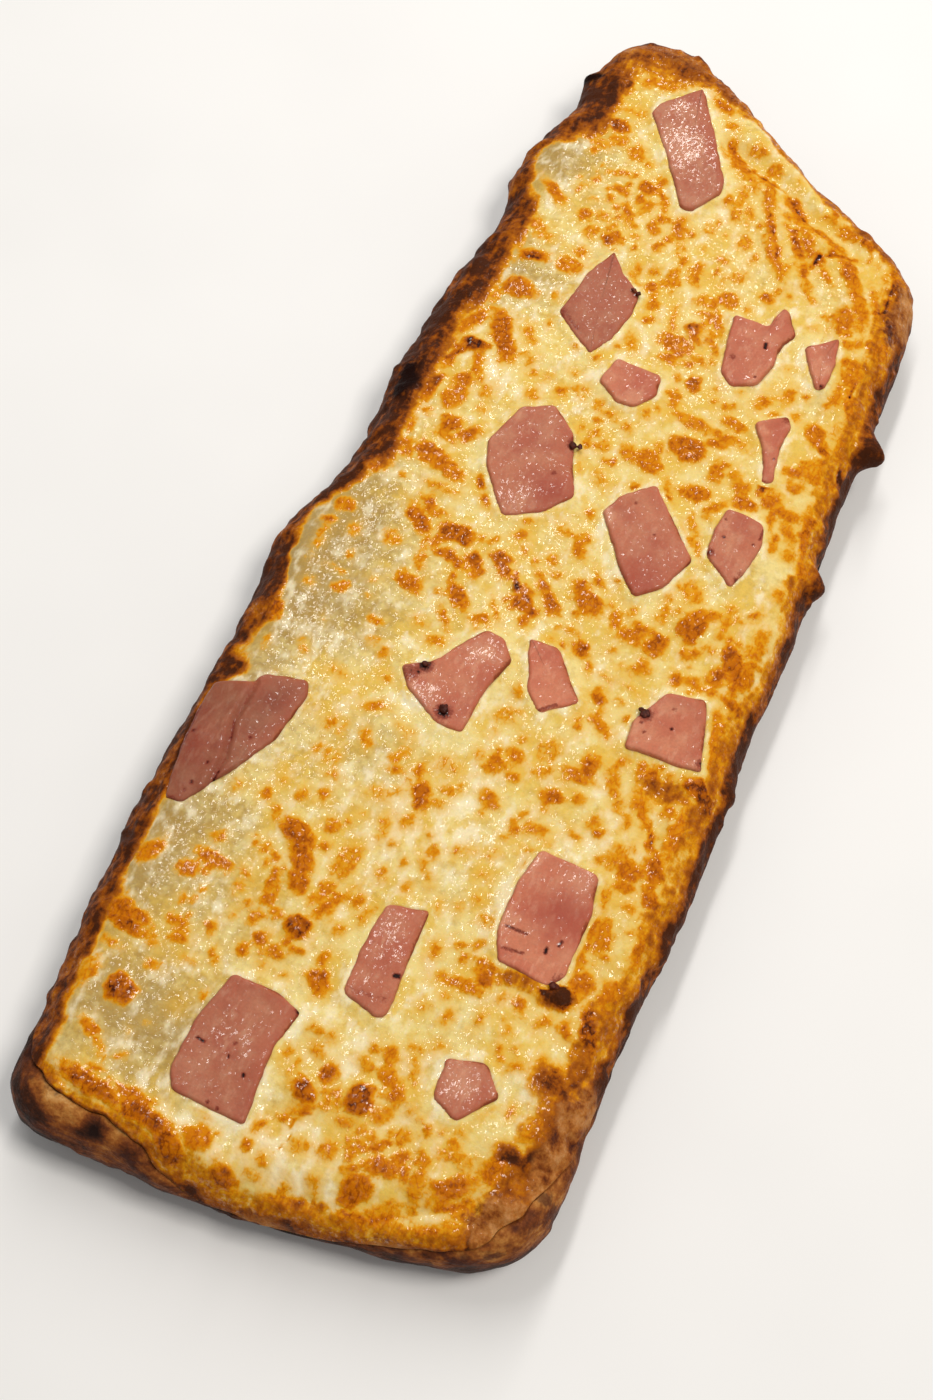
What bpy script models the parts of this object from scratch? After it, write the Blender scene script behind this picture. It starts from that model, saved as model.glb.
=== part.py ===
"""Ham and cheese flatbread: a rectangular bread, the cheese melted over it and 17 pieces of ham.

Named values are millimetres, turned to metres as each mesh is made. +Y runs to the far short end,
+X to the right and +Z up. The origin is under the middle of the bread, on its flat underside.

The bread and the cheese are grown on one plain rounded rectangle. Its middle is a grid, and rings
of points run from there over the shoulder and down the wall. Four edge curves then bend the plain
rectangle to the real uneven outline, so both solids, and the ham lying on them, share one shape.
"""
import math

import bmesh
import bpy
import numpy as np

MM = 0.001

# Middle of the finished bread in plan. Every mesh is moved by it, so the origin lies under it.
MIDDLE_X = 0.371
MIDDLE_Y = -2.385

# The plain rounded rectangle, before it is bent to the outline.
HALF_WIDTH = 52.0
HALF_LENGTH = 148.0
CORNER_RADIUS = 12.0
GRID_ACROSS = 18
GRID_ALONG = 60
CORNER_STEPS = 4

# Heights and the side's profile.
CHEESE_TOP = 18.5
WIDEST_Z = 9.5
SHOULDER = 10.0
UNDERCUT = 4.5
BED_Z = 14.0
CHEESE_EDGE = 1.5
GAP = 0.35
GROOVE = 0.06
SHOULDER_RINGS = 4
WALL_RINGS = 5

# Each edge as (place along it, distance from the centre line), near to far or left to right.
LEFT_EDGE = [(-152, -48), (-133, -48), (-112, -50), (-92, -51.8), (-60, -52.2), (-36, -52.4),
             (-18, -54.3), (-9, -52.2), (0, -49.3), (30, -49.4), (60, -48.4), (79, -45.8),
             (95, -48.5), (114, -44), (150, -41.5)]
RIGHT_EDGE = [(-152, 50), (-126, 51.8), (-88, 51.8), (-72, 53), (-45, 53), (-25, 52.2),
              (0, 53), (22, 51.6), (50, 51.5), (80, 51.3), (100, 50), (125, 48)]
NEAR_EDGE = [(-56, -150.5), (-40, -150), (-12, -149.5), (6, -148), (22, -145.4), (40, -141.8),
             (56, -137)]
FAR_EDGE = [(-56, 142.5), (-40, 145), (-28, 144.8), (-19, 140.5), (0, 128.8), (20, 115.6),
            (40, 105.8), (56, 96)]

# Rolls and creases of the top: (points along it, height, width). A height below zero is a crease.
FOLDS = [
    ([(-3, 116), (9, 111), (19, 104), (33, 96)], -1.3, 3.0),
    ([(4, 121), (18, 112), (36, 103)], 0.9, 5.0),
    ([(11, 107), (15, 96), (20, 85)], 0.7, 4.0),
    ([(22, 99), (32, 93), (38, 82), (40, 70)], 1.0, 4.5),
    ([(44, 96), (46, 78), (46, 55)], 0.8, 4.0),
    ([(43, -30), (41, -50), (44, -66)], -0.8, 3.5),
    ([(47, -20), (46, -50), (46, -80)], 0.7, 4.0),
    ([(38, -107), (45, -109), (46, -116), (40, -121)], 1.3, 4.5),
    ([(44, -103), (50, -113), (45, -124)], -0.9, 3.0),
    ([(6, -143), (24, -139), (40, -134)], -1.1, 3.0),
    ([(-44, -122), (-37, -137), (-20, -143), (-6, -146)], 1.0, 5.0),
    ([(-46, 60), (-45, 20), (-46, 0)], 0.8, 5.0),
]

# Crisp knobs of browned cheese that stand out of the side: (x, y, how far out, radius).
KNOBS = [(51.5, 51.5, 6.0, 3.4), (52.5, 14.5, 3.6, 3.0), (53.5, -38, 1.2, 3.0), (52.5, -74, 1.4, 3.0),
         (-44, 127, 2.6, 4.5), (-34, 148, 1.4, 5.0), (-20, 145, 1.2, 4.0), (-50, 30, 1.2, 6.0),
         (-49, -148, 1.5, 5.0), (50, -137, 1.4, 4.0)]

# Where the cheese stops short of the side and bare crust shows: (x, y, share given up, radius).
BARE_CRUST = [(-42, -146, 0.85, 15.0), (-22, -150, 0.6, 12.0), (50, -132, 0.7, 16.0),
              (46, 104, 0.35, 12.0), (30, -146, 0.3, 12.0)]
CHEESE_REACH = 1.0

# Each piece of ham as its outline on the bread, going round.
HAM_PIECES = [
    [(-15.5, 130), (-9, 119), (-1, 104), (-0.5, 100.5), (-5, 93), (-7.5, 93), (-17, 108),
     (-24, 118), (-23, 121.5)],
    [(-16.5, 75), (-12.5, 70), (-7, 66), (-6.5, 60), (-8, 52), (-11, 46), (-14.5, 48.5),
     (-21.5, 54), (-20, 66)],
    [(-5, 47), (5.5, 46.5), (6.3, 41), (3, 36.5), (-1, 36), (-6.5, 40)],
    [(14, 69), (22, 69), (23.3, 75.5), (25, 75), (28.5, 69), (26.5, 65), (26.5, 58), (25, 52.5),
     (20, 50), (16.5, 53)],
    [(31, 67), (37.5, 71.5), (38.7, 65), (38.7, 58), (37, 56.5), (34, 61.5)],
    [(28, 43), (34, 47.5), (35.5, 45), (35, 39), (36.5, 30), (34.5, 29), (32, 36.5)],
    [(-19, 26.5), (-12.5, 30), (-6, 24.5), (-2.5, 15), (0, 10), (-5, 3.5), (-12, -0.5), (-15, 3),
     (-20, 10), (-22, 16)],
    [(14.5, 19.5), (28, 5), (24.5, -3.5), (20, -7.5), (16.5, -4.5), (6.5, 9), (8.5, 13.5)],
    [(30, 20), (38.5, 19), (39.5, 14), (38.5, 6), (37, 2), (30, 7.5), (29.3, 13)],
    [(-4, -27), (0, -27.5), (3.2, -31.5), (1, -40), (0.5, -50), (-5, -50), (-13, -45.5),
     (-16.5, -41), (-11, -38), (-7.5, -32)],
    [(4.3, -25), (11, -25), (15, -30), (19, -34.5), (12.5, -40), (8.5, -36)],
    [(34, -25.5), (41.5, -24), (43, -28), (46, -39), (30.5, -40), (30, -34)],
    [(-48.7, -59), (-41, -57), (-39.5, -54), (-31.5, -52), (-30, -55), (-31.5, -66), (-36, -75),
     (-42, -85.5), (-45.5, -85.5), (-47.5, -77), (-49, -66)],
    [(24, -66.5), (36, -67), (37.5, -74), (37.5, -88), (35.5, -91), (25, -90), (22.5, -84),
     (22.5, -74)],
    [(2, -88), (10, -86), (10.5, -98), (11, -108), (9.5, -109), (2, -107), (1.3, -98)],
    [(-17.5, -112), (-9, -111.5), (-3, -113.5), (-5, -121), (-3.5, -136), (-18, -135.5),
     (-20, -132), (-20, -122)],
    [(24, -110.5), (31, -108.5), (35.5, -113.5), (30, -120.5), (24.5, -118)],
]
HAM_ABOVE = 1.4
HAM_BELOW = 1.2
HAM_CORNER = 0.9
HAM_ROUND = 0.7
POCKET_SIDE = 0.4

CRUST_COLOUR = (0.42, 0.19, 0.06)
CHEESE_COLOUR = (0.85, 0.66, 0.33)
HAM_COLOUR = (0.60, 0.25, 0.21)


def remove_objects():
    """Empty the file of its objects."""
    for thing in list(bpy.data.objects):
        bpy.data.objects.remove(thing, do_unlink=True)


def make_material(name, colour, roughness):
    """A plain material of one colour."""
    material = bpy.data.materials.new(name)
    material.use_nodes = True
    shader = material.node_tree.nodes["Principled BSDF"]
    shader.inputs["Base Color"].default_value = (*colour, 1.0)
    shader.inputs["Roughness"].default_value = roughness
    shader.inputs["Metallic"].default_value = 0.0
    return material


def smooth_step(value):
    """0 to 1 with a soft start and end."""
    value = np.clip(value, 0.0, 1.0)
    return value * value * (3.0 - 2.0 * value)


def along(points, place):
    """A smooth curve through (place, value) points, read at `place`."""
    keys, values = (np.array(column, float) for column in zip(*points))
    slopes = np.gradient(values, keys)
    place = np.clip(place, keys[0], keys[-1])
    left = np.clip(np.searchsorted(keys, place, side="right") - 1, 0, len(keys) - 2)
    step = keys[left + 1] - keys[left]
    t = (place - keys[left]) / step
    start = values[left] * (1 + 2 * t) * (1 - t) ** 2 + slopes[left] * step * t * (1 - t) ** 2
    end = values[left + 1] * t * t * (3 - 2 * t) - slopes[left + 1] * step * t * t * (1 - t)
    return start + end


def noise(points, cell, seed):
    """Smooth seeded noise between -1 and 1, with lumps about `cell` long."""
    table = np.random.default_rng(seed).uniform(-1.0, 1.0, 4096)
    scaled = points / cell
    base = np.floor(scaled).astype(int)
    part = smooth_step(scaled - base)
    total = np.zeros(len(points))
    for corner in np.ndindex(2, 2, 2):
        at = base + np.array(corner)
        weight = np.prod(np.where(corner, part, 1.0 - part), axis=1)
        key = (at[:, 0] * 1619 + at[:, 1] * 31337 + at[:, 2] * 6971) % 4096
        total += weight * table[key]
    return total


def bend(plain):
    """Plain rectangle points (x, y) bent to the real outline."""
    x, y = plain[:, 0], plain[:, 1]
    near, far = along(NEAR_EDGE, x), along(FAR_EDGE, x)
    real_y = near + (far - near) * (y + HALF_LENGTH) / (2 * HALF_LENGTH)
    left, right = along(LEFT_EDGE, real_y), along(RIGHT_EDGE, real_y)
    real_x = left + (right - left) * (x + HALF_WIDTH) / (2 * HALF_WIDTH)
    return np.column_stack([real_x, real_y])


def unbend(real):
    """The way back from a place on the bread to the plain rectangle."""
    x, y = real[:, 0], real[:, 1]
    left, right = along(LEFT_EDGE, y), along(RIGHT_EDGE, y)
    plain_x = -HALF_WIDTH + 2 * HALF_WIDTH * (x - left) / (right - left)
    near, far = along(NEAR_EDGE, plain_x), along(FAR_EDGE, plain_x)
    plain_y = -HALF_LENGTH + 2 * HALF_LENGTH * (y - near) / (far - near)
    return np.column_stack([plain_x, plain_y])


def inset_of(plain):
    """How far each plain point lies inside the rounded rectangle."""
    limit = np.array([HALF_WIDTH - CORNER_RADIUS, HALF_LENGTH - CORNER_RADIUS])
    beyond = np.abs(plain) - limit
    outside = np.linalg.norm(np.maximum(beyond, 0.0), axis=1)
    inside = np.minimum(np.max(beyond, axis=1), 0.0)
    return CORNER_RADIUS - outside - inside


def fold_height(real):
    """Rolls and creases, summed at places on the bread."""
    total = np.zeros(len(real))
    for path, height, width in FOLDS:
        nearest = np.full(len(real), 1e9)
        for start, end in zip(path[:-1], path[1:]):
            start, run = np.array(start, float), np.subtract(end, start).astype(float)
            share = np.clip(((real - start) @ run) / (run @ run), 0.0, 1.0)
            nearest = np.minimum(nearest, np.linalg.norm(real - start - share[:, None] * run, axis=1))
        total += height * np.exp(-((nearest / width) ** 2))
    return total


def surface_height(real):
    """Height of the cheese at places on the bread, shoulder and soft swells included."""
    inset = inset_of(unbend(real))
    slope = 1.0 - np.clip(inset / SHOULDER, 0.0, 1.0)
    drop = (CHEESE_TOP - WIDEST_Z) * (1.0 - np.sqrt(1.0 - np.minimum(slope, 0.995) ** 2))
    level = np.column_stack([real, np.zeros(len(real))])
    swell = 0.55 * noise(level, 38.0, 3) + 0.25 * noise(level, 17.0, 5)
    return CHEESE_TOP - drop + swell + fold_height(real) * smooth_step(inset / 6.0)


class Rim:
    """The closed line round the middle grid, and the rings that grow outward from it."""

    def __init__(self):
        anchors, outward = [], []
        half_x, half_y = HALF_WIDTH - CORNER_RADIUS, HALF_LENGTH - CORNER_RADIUS
        sides = [((-1, -1), (1, -1), GRID_ACROSS, -90), ((1, -1), (1, 1), GRID_ALONG, 0),
                 ((1, 1), (-1, 1), GRID_ACROSS, 90), ((-1, 1), (-1, -1), GRID_ALONG, 180)]
        for start, end, count, angle in sides:
            for step in range(count + 1):
                share = step / count
                anchors.append([half_x * (start[0] + (end[0] - start[0]) * share),
                                half_y * (start[1] + (end[1] - start[1]) * share)])
                outward.append(math.radians(angle))
            for step in range(1, CORNER_STEPS):
                anchors.append([half_x * end[0], half_y * end[1]])
                outward.append(math.radians(angle + 90 * step / CORNER_STEPS))
        self.anchor = np.array(anchors)
        self.outward = np.column_stack([np.cos(outward), np.sin(outward)])
        self.count = len(self.anchor)
        self.reach = self.cheese_reach()

    def cheese_reach(self):
        """How far over the shoulder the cheese runs: 1 is the widest line, 0 the flat top."""
        real = bend(self.anchor + self.outward * CORNER_RADIUS)
        line = np.column_stack([real, np.zeros(self.count)])
        reach = CHEESE_REACH + 0.10 * noise(line, 24.0, 11) + 0.05 * noise(line, 11.0, 12)
        for x, y, share, radius in BARE_CRUST:
            reach -= share * np.exp(-np.sum((real - (x, y)) ** 2, axis=1) / radius ** 2)
        return np.clip(reach, 0.2, 1.12)

    def ring(self, travel, depth=0.0, roughness=0.0, swells=0.0):
        """Points at `travel` over the side, moved inward by `depth` along the surface's normal.

        A travel of 0 is the flat top, 1 the widest line and 2 the underside's edge.
        """
        travel = np.broadcast_to(np.asarray(travel, float), self.count)
        depth = np.broadcast_to(np.asarray(depth, float), self.count)
        top = np.minimum(travel, 1.0) * math.pi / 2
        low = np.clip(travel - 1.0, 0.0, 1.0)
        rise = CHEESE_TOP - WIDEST_Z
        inset = SHOULDER * (1.0 - np.sin(top)) + UNDERCUT * low ** 2
        height = WIDEST_Z + rise * np.cos(top) - WIDEST_Z * low
        across = np.where(travel > 1.0, WIDEST_Z, rise * np.sin(top))
        upward = np.where(travel > 1.0, -2 * UNDERCUT * low, SHOULDER * np.cos(top))
        length = np.hypot(across, upward)
        across, upward = across / length, upward / length
        real = bend(self.anchor + self.outward * (CORNER_RADIUS - inset)[:, None])
        place = np.column_stack([real, height])
        out = -depth
        if roughness:
            fade = smooth_step((2.0 - travel) / 0.3)
            lumps = 0.6 * noise(place, 9.0, 21) + 0.4 * noise(place, 4.5, 22)
            out = out + roughness * fade * lumps
            for x, y, far, radius in KNOBS:
                near = np.sum((real - (x, y)) ** 2, axis=1) / radius ** 2
                out = out + far * fade * np.exp(-near - ((height - 13.0) / 3.5) ** 2)
        if swells:
            level = surface_height(real) - self.plain_height(real)
            height = height + swells * level * upward
        plain = self.anchor + self.outward * (CORNER_RADIUS - inset + out * across)[:, None]
        return np.column_stack([bend(plain), height + out * upward])

    def plain_height(self, real):
        """The shoulder alone, without swells."""
        slope = 1.0 - np.clip(inset_of(unbend(real)) / SHOULDER, 0.0, 1.0)
        drop = 1.0 - np.sqrt(1.0 - np.minimum(slope, 0.995) ** 2)
        return CHEESE_TOP - (CHEESE_TOP - WIDEST_Z) * drop

    def start(self, height):
        """The line round the middle, at one height or on the cheese's surface."""
        real = bend(self.anchor)
        if height is None:
            height = surface_height(real)
        return np.column_stack([real, np.broadcast_to(height, self.count)])


def middle_grid():
    """The grid of points inside the rim, on the cheese's surface."""
    xs = np.linspace(-1, 1, GRID_ACROSS + 1) * (HALF_WIDTH - CORNER_RADIUS)
    ys = np.linspace(-1, 1, GRID_ALONG + 1) * (HALF_LENGTH - CORNER_RADIUS)
    plain = np.array([(x, y) for y in ys for x in xs])
    real = bend(plain)
    return np.column_stack([real, surface_height(real)])


def join_rings(mesh, rings):
    """Quads between rings of points, each ring closed."""
    loops = [[mesh.verts.new(point * MM) for point in ring] for ring in rings]
    for inner, outer in zip(loops[:-1], loops[1:]):
        for index in range(len(inner)):
            after = (index + 1) % len(inner)
            mesh.faces.new([inner[index], outer[index], outer[after], inner[after]])
    return loops


def finish_mesh(mesh, name, material, flat=False):
    """Merge the doubled corner points, centre the mesh, face it outward and make the object."""
    bmesh.ops.remove_doubles(mesh, verts=mesh.verts, dist=1e-6)
    bmesh.ops.translate(mesh, verts=mesh.verts, vec=(-MIDDLE_X * MM, -MIDDLE_Y * MM, 0.0))
    bmesh.ops.dissolve_degenerate(mesh, edges=mesh.edges, dist=1e-7)
    bmesh.ops.triangulate(mesh, faces=[face for face in mesh.faces if len(face.verts) == 4])
    bmesh.ops.recalc_face_normals(mesh, faces=mesh.faces)
    data = bpy.data.meshes.new(name)
    mesh.to_mesh(data)
    mesh.free()
    data.materials.append(material)
    if not flat:
        data.shade_smooth()
    thing = bpy.data.objects.new(name, data)
    bpy.context.collection.objects.link(thing)
    return thing


def cover_depth(share):
    """Depth of the bread's surface under the cheese, from the bed out to the cheese's edge."""
    return (CHEESE_TOP - BED_Z) + (CHEESE_EDGE - CHEESE_TOP + BED_Z) * smooth_step(share * 1.15)


def make_bread(rim, material):
    """The bread: a flat bed under the cheese, bare crust beyond it and a flat underside."""
    rings = [rim.start(BED_Z)]
    for step in range(1, SHOULDER_RINGS + 1):
        share = step / SHOULDER_RINGS
        rings.append(rim.ring(rim.reach * share, depth=cover_depth(share)))
    first = rim.reach + GROOVE
    rings.append(rim.ring(first, roughness=0.5))
    for step in range(1, WALL_RINGS + 1):
        share = step / WALL_RINGS
        rings.append(rim.ring(first + (2.0 - first) * share, roughness=0.9))
    mesh = bmesh.new()
    loops = join_rings(mesh, rings)
    mesh.faces.new(loops[0])
    mesh.faces.new(loops[-1])
    return finish_mesh(mesh, "bread", material)


def make_cheese(rim, material):
    """The cheese: a thick skin over the bed and shoulder, with a rounded browned edge."""
    outer = [rim.start(None)]
    for step in range(1, SHOULDER_RINGS + 1):
        share = step / SHOULDER_RINGS
        rough = 0.25 if step == 1 else 0.6
        outer.append(rim.ring(rim.reach * share, roughness=rough, swells=1.0))
    under = []
    for step in range(SHOULDER_RINGS, 0, -1):
        share = step / SHOULDER_RINGS
        under.append(rim.ring(rim.reach * share, depth=cover_depth(share) - GAP))
    under.append(rim.start(BED_Z + GAP))
    mesh = bmesh.new()
    loops = join_rings(mesh, outer + under)
    mesh.faces.new(loops[-1])
    grid = [mesh.verts.new(point * MM) for point in middle_grid()]
    row = GRID_ACROSS + 1
    for j in range(GRID_ALONG):
        for i in range(GRID_ACROSS):
            at = j * row + i
            mesh.faces.new([grid[at], grid[at + 1], grid[at + row + 1], grid[at + row]])
    return finish_mesh(mesh, "cheese", material)


def round_corners(outline, cut):
    """The outline with each corner cut off `cut` along both its edges."""
    points = np.array(outline, float)
    result = []
    for index, corner in enumerate(points):
        for other in (points[index - 1], points[(index + 1) % len(points)]):
            run = other - corner
            length = np.linalg.norm(run)
            result.append(corner + run / length * min(cut, 0.3 * length))
    return np.array(result)


def grow(outline, distance):
    """The outline moved outward by a distance along its corner normals."""
    edges = np.roll(outline, -1, axis=0) - outline
    edges /= np.linalg.norm(edges, axis=1)[:, None]
    normals = np.column_stack([edges[:, 1], -edges[:, 0]])
    area = np.sum(outline[:, 0] * np.roll(outline[:, 1], -1) - outline[:, 1] * np.roll(outline[:, 0], -1))
    corner = normals + np.roll(normals, 1, axis=0)
    corner /= np.linalg.norm(corner, axis=1)[:, None]
    return outline + corner * distance * np.sign(area)


def stack_rings(mesh, rings):
    """Rings joined to a closed solid, with a point in the middle of the first and the last."""
    loops = join_rings(mesh, rings)
    for loop, ring in ((loops[0], rings[0]), (loops[-1], rings[-1])):
        place = ring.mean(axis=0)
        place[2] = ring[:, 2].mean() if ring is rings[0] and len(rings) == 2 else place[2]
        point = mesh.verts.new(place * MM)
        for index in range(len(loop)):
            mesh.faces.new([loop[index], loop[(index + 1) % len(loop)], point])


def on_surface(outline, offset):
    """Points of the outline, lying a distance above the cheese."""
    return np.column_stack([outline, surface_height(outline) + offset])


def make_ham(index, outline, material):
    """One piece of ham, sunk a little into the cheese."""
    edge = round_corners(outline, HAM_CORNER)
    middle = edge.mean(axis=0)
    inner = middle + (edge - middle) * 0.6
    rings = [on_surface(edge, -HAM_BELOW), on_surface(edge, HAM_ABOVE - HAM_ROUND),
             on_surface(grow(edge, -HAM_ROUND), HAM_ABOVE), on_surface(inner, HAM_ABOVE + 0.1)]
    mesh = bmesh.new()
    stack_rings(mesh, rings)
    return finish_mesh(mesh, f"ham_{index:02d}", material)


def make_cutter(outline):
    """The room for one piece of ham, a little larger than the piece."""
    edge = round_corners(outline, HAM_CORNER)
    grown = grow(edge, POCKET_SIDE)
    rings = [on_surface(grown, -HAM_BELOW - GAP),
             np.column_stack([grown, np.full(len(grown), CHEESE_TOP + 8.0)])]
    mesh = bmesh.new()
    stack_rings(mesh, rings)
    return finish_mesh(mesh, "pocket", None, flat=True)


def cut_pockets(cheese, outlines):
    """Cut the room for every piece of ham out of the cheese in one step."""
    pockets = bpy.data.collections.new("pockets")
    bpy.context.scene.collection.children.link(pockets)
    for outline in outlines:
        cutter = make_cutter(outline)
        bpy.context.collection.objects.unlink(cutter)
        pockets.objects.link(cutter)
    cut = cheese.modifiers.new("pockets", "BOOLEAN")
    cut.operation = "DIFFERENCE"
    cut.operand_type = "COLLECTION"
    cut.collection = pockets
    cut.solver = "EXACT"
    bpy.context.view_layer.objects.active = cheese
    bpy.ops.object.modifier_apply(modifier=cut.name)
    for cutter in list(pockets.objects):
        bpy.data.objects.remove(cutter, do_unlink=True)
    bpy.data.collections.remove(pockets)


def main():
    """Build every solid."""
    remove_objects()
    crust = make_material("crust", CRUST_COLOUR, 0.6)
    cheese_skin = make_material("cheese", CHEESE_COLOUR, 0.35)
    ham_meat = make_material("ham", HAM_COLOUR, 0.4)
    rim = Rim()
    make_bread(rim, crust)
    cheese = make_cheese(rim, cheese_skin)
    for index, outline in enumerate(HAM_PIECES, start=1):
        make_ham(index, outline, ham_meat)
    cut_pockets(cheese, HAM_PIECES)


main()
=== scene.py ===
"""Looks of a ham and cheese flatbread: baked crust, melted blistered cheese and pieces of ham.

Sizes are millimetres and turned to metres as each mesh is made. +Y runs to the far short end, +X to
the right and +Z up, as in the frame. The cheese and the bread are grown on one plain rounded
rectangle, which four edge curves bend to the real uneven outline, so all pieces share one shape.
"""

import logging
import math
from dataclasses import dataclass, field
from enum import Enum

import bmesh
import bpy
import numpy as np
from mathutils import Matrix, Vector

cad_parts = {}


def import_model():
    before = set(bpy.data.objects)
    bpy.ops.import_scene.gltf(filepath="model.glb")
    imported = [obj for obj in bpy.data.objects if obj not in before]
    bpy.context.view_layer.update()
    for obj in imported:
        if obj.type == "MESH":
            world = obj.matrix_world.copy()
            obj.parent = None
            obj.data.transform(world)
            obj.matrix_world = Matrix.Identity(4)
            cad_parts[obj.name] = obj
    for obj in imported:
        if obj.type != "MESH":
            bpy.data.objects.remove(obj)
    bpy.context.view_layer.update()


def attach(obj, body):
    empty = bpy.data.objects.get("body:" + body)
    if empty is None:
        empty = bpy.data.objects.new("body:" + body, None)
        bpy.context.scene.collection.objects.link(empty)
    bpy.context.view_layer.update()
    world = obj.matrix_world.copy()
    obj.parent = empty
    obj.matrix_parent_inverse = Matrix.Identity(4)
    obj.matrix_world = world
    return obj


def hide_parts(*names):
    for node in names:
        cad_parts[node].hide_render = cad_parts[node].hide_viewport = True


LOG = logging.getLogger("flatbread")
MM = 0.001
# Middle of the finished bread in plan: every mesh is moved by it, so the origin lies under it.
MIDDLE = np.array([0.371, -2.385, 0.0])

Points = np.ndarray
Values = np.ndarray
Table = list[tuple[float, ...]]
Socket = bpy.types.NodeSocket
Stops = tuple[tuple[float, str], ...]
# Places further than this from the ham, in millimetres, count as free of it.
CLEAR_OF_HAM = 6.0
# Depth given to places outside every blister, in millimetres.
OUTSIDE = -9.0
# Distance between the points of a piece of ham, in millimetres.
HAM_STEP = 0.36


def smooth_step(value: Values) -> Values:
    """0 to 1 with a soft start and end."""
    value = np.clip(value, 0.0, 1.0)
    return value * value * (3.0 - 2.0 * value)


def ramp(value: Values, start: float, end: float) -> Values:
    """0 at `start`, 1 at `end`, soft between them."""
    return smooth_step((np.asarray(value, float) - start) / (end - start))


def along(points: Table, place: Values) -> Values:
    """Read a smooth curve through (place, value) points.

    Args:
        points: the curve's points, with rising places.
        place: where to read it.

    Returns:
        The curve's value at each place.
    """
    keys, values = (np.array(column, float) for column in zip(*points))
    slopes = np.gradient(values, keys)
    place = np.clip(place, keys[0], keys[-1])
    left = np.clip(np.searchsorted(keys, place, side="right") - 1, 0, len(keys) - 2)
    step = keys[left + 1] - keys[left]
    t = (place - keys[left]) / step
    start = values[left] * (1 + 2 * t) * (1 - t) ** 2 + slopes[left] * step * t * (1 - t) ** 2
    end = values[left + 1] * t * t * (3 - 2 * t) - slopes[left + 1] * step * t * t * (1 - t)
    return start + end


def noise(points: Points, cell: float, seed: int) -> Values:
    """Smooth seeded noise between -1 and 1.

    Args:
        points: places in millimetres, three columns.
        cell: how long a lump is, in millimetres.
        seed: which pattern.

    Returns:
        One value for each point.
    """
    table = np.random.default_rng(seed).uniform(-1.0, 1.0, 4096)
    scaled = points / cell
    base = np.floor(scaled).astype(int)
    part = smooth_step(scaled - base)
    total = np.zeros(len(points))
    for corner in np.ndindex(2, 2, 2):
        at = base + np.array(corner)
        weight = np.prod(np.where(corner, part, 1.0 - part), axis=1)
        key = (at[:, 0] * 1619 + at[:, 1] * 31337 + at[:, 2] * 6971) % 4096
        total += weight * table[key]
    return total


def on_level(real: Points) -> Points:
    """Plan points given a third column of zeros."""
    return np.column_stack([real, np.zeros(len(real))])


def layered(points: Points, cell: float, seed: int, layers: int = 3) -> Values:
    """Noise with finer and fainter layers added, between about -1 and 1.

    Args:
        points: places in millimetres, three columns.
        cell: the coarsest lump, in millimetres.
        seed: which pattern.
        layers: how many layers, each half as long and half as strong.

    Returns:
        One value for each point.
    """
    total = np.zeros(len(points))
    for layer in range(layers):
        total += noise(points, cell / 2 ** layer, seed + layer) / 2 ** layer
    return total / 1.6


def patches(real: Points, table: Table, firm: float = 1.0) -> Values:
    """Soft patches on the bread, the strongest at each place.

    Args:
        real: the plan points.
        table: rows of (x, y, reach across, reach along, strength).
        firm: how flat a patch's middle is and how steep its edge.

    Returns:
        One value for each point.
    """
    total = np.zeros(len(real))
    for x, y, across, long, strength in table:
        reach = ((real[:, 0] - x) / across) ** 2 + ((real[:, 1] - y) / long) ** 2
        total = np.maximum(total, strength * np.exp(-reach ** firm))
    return total


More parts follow.
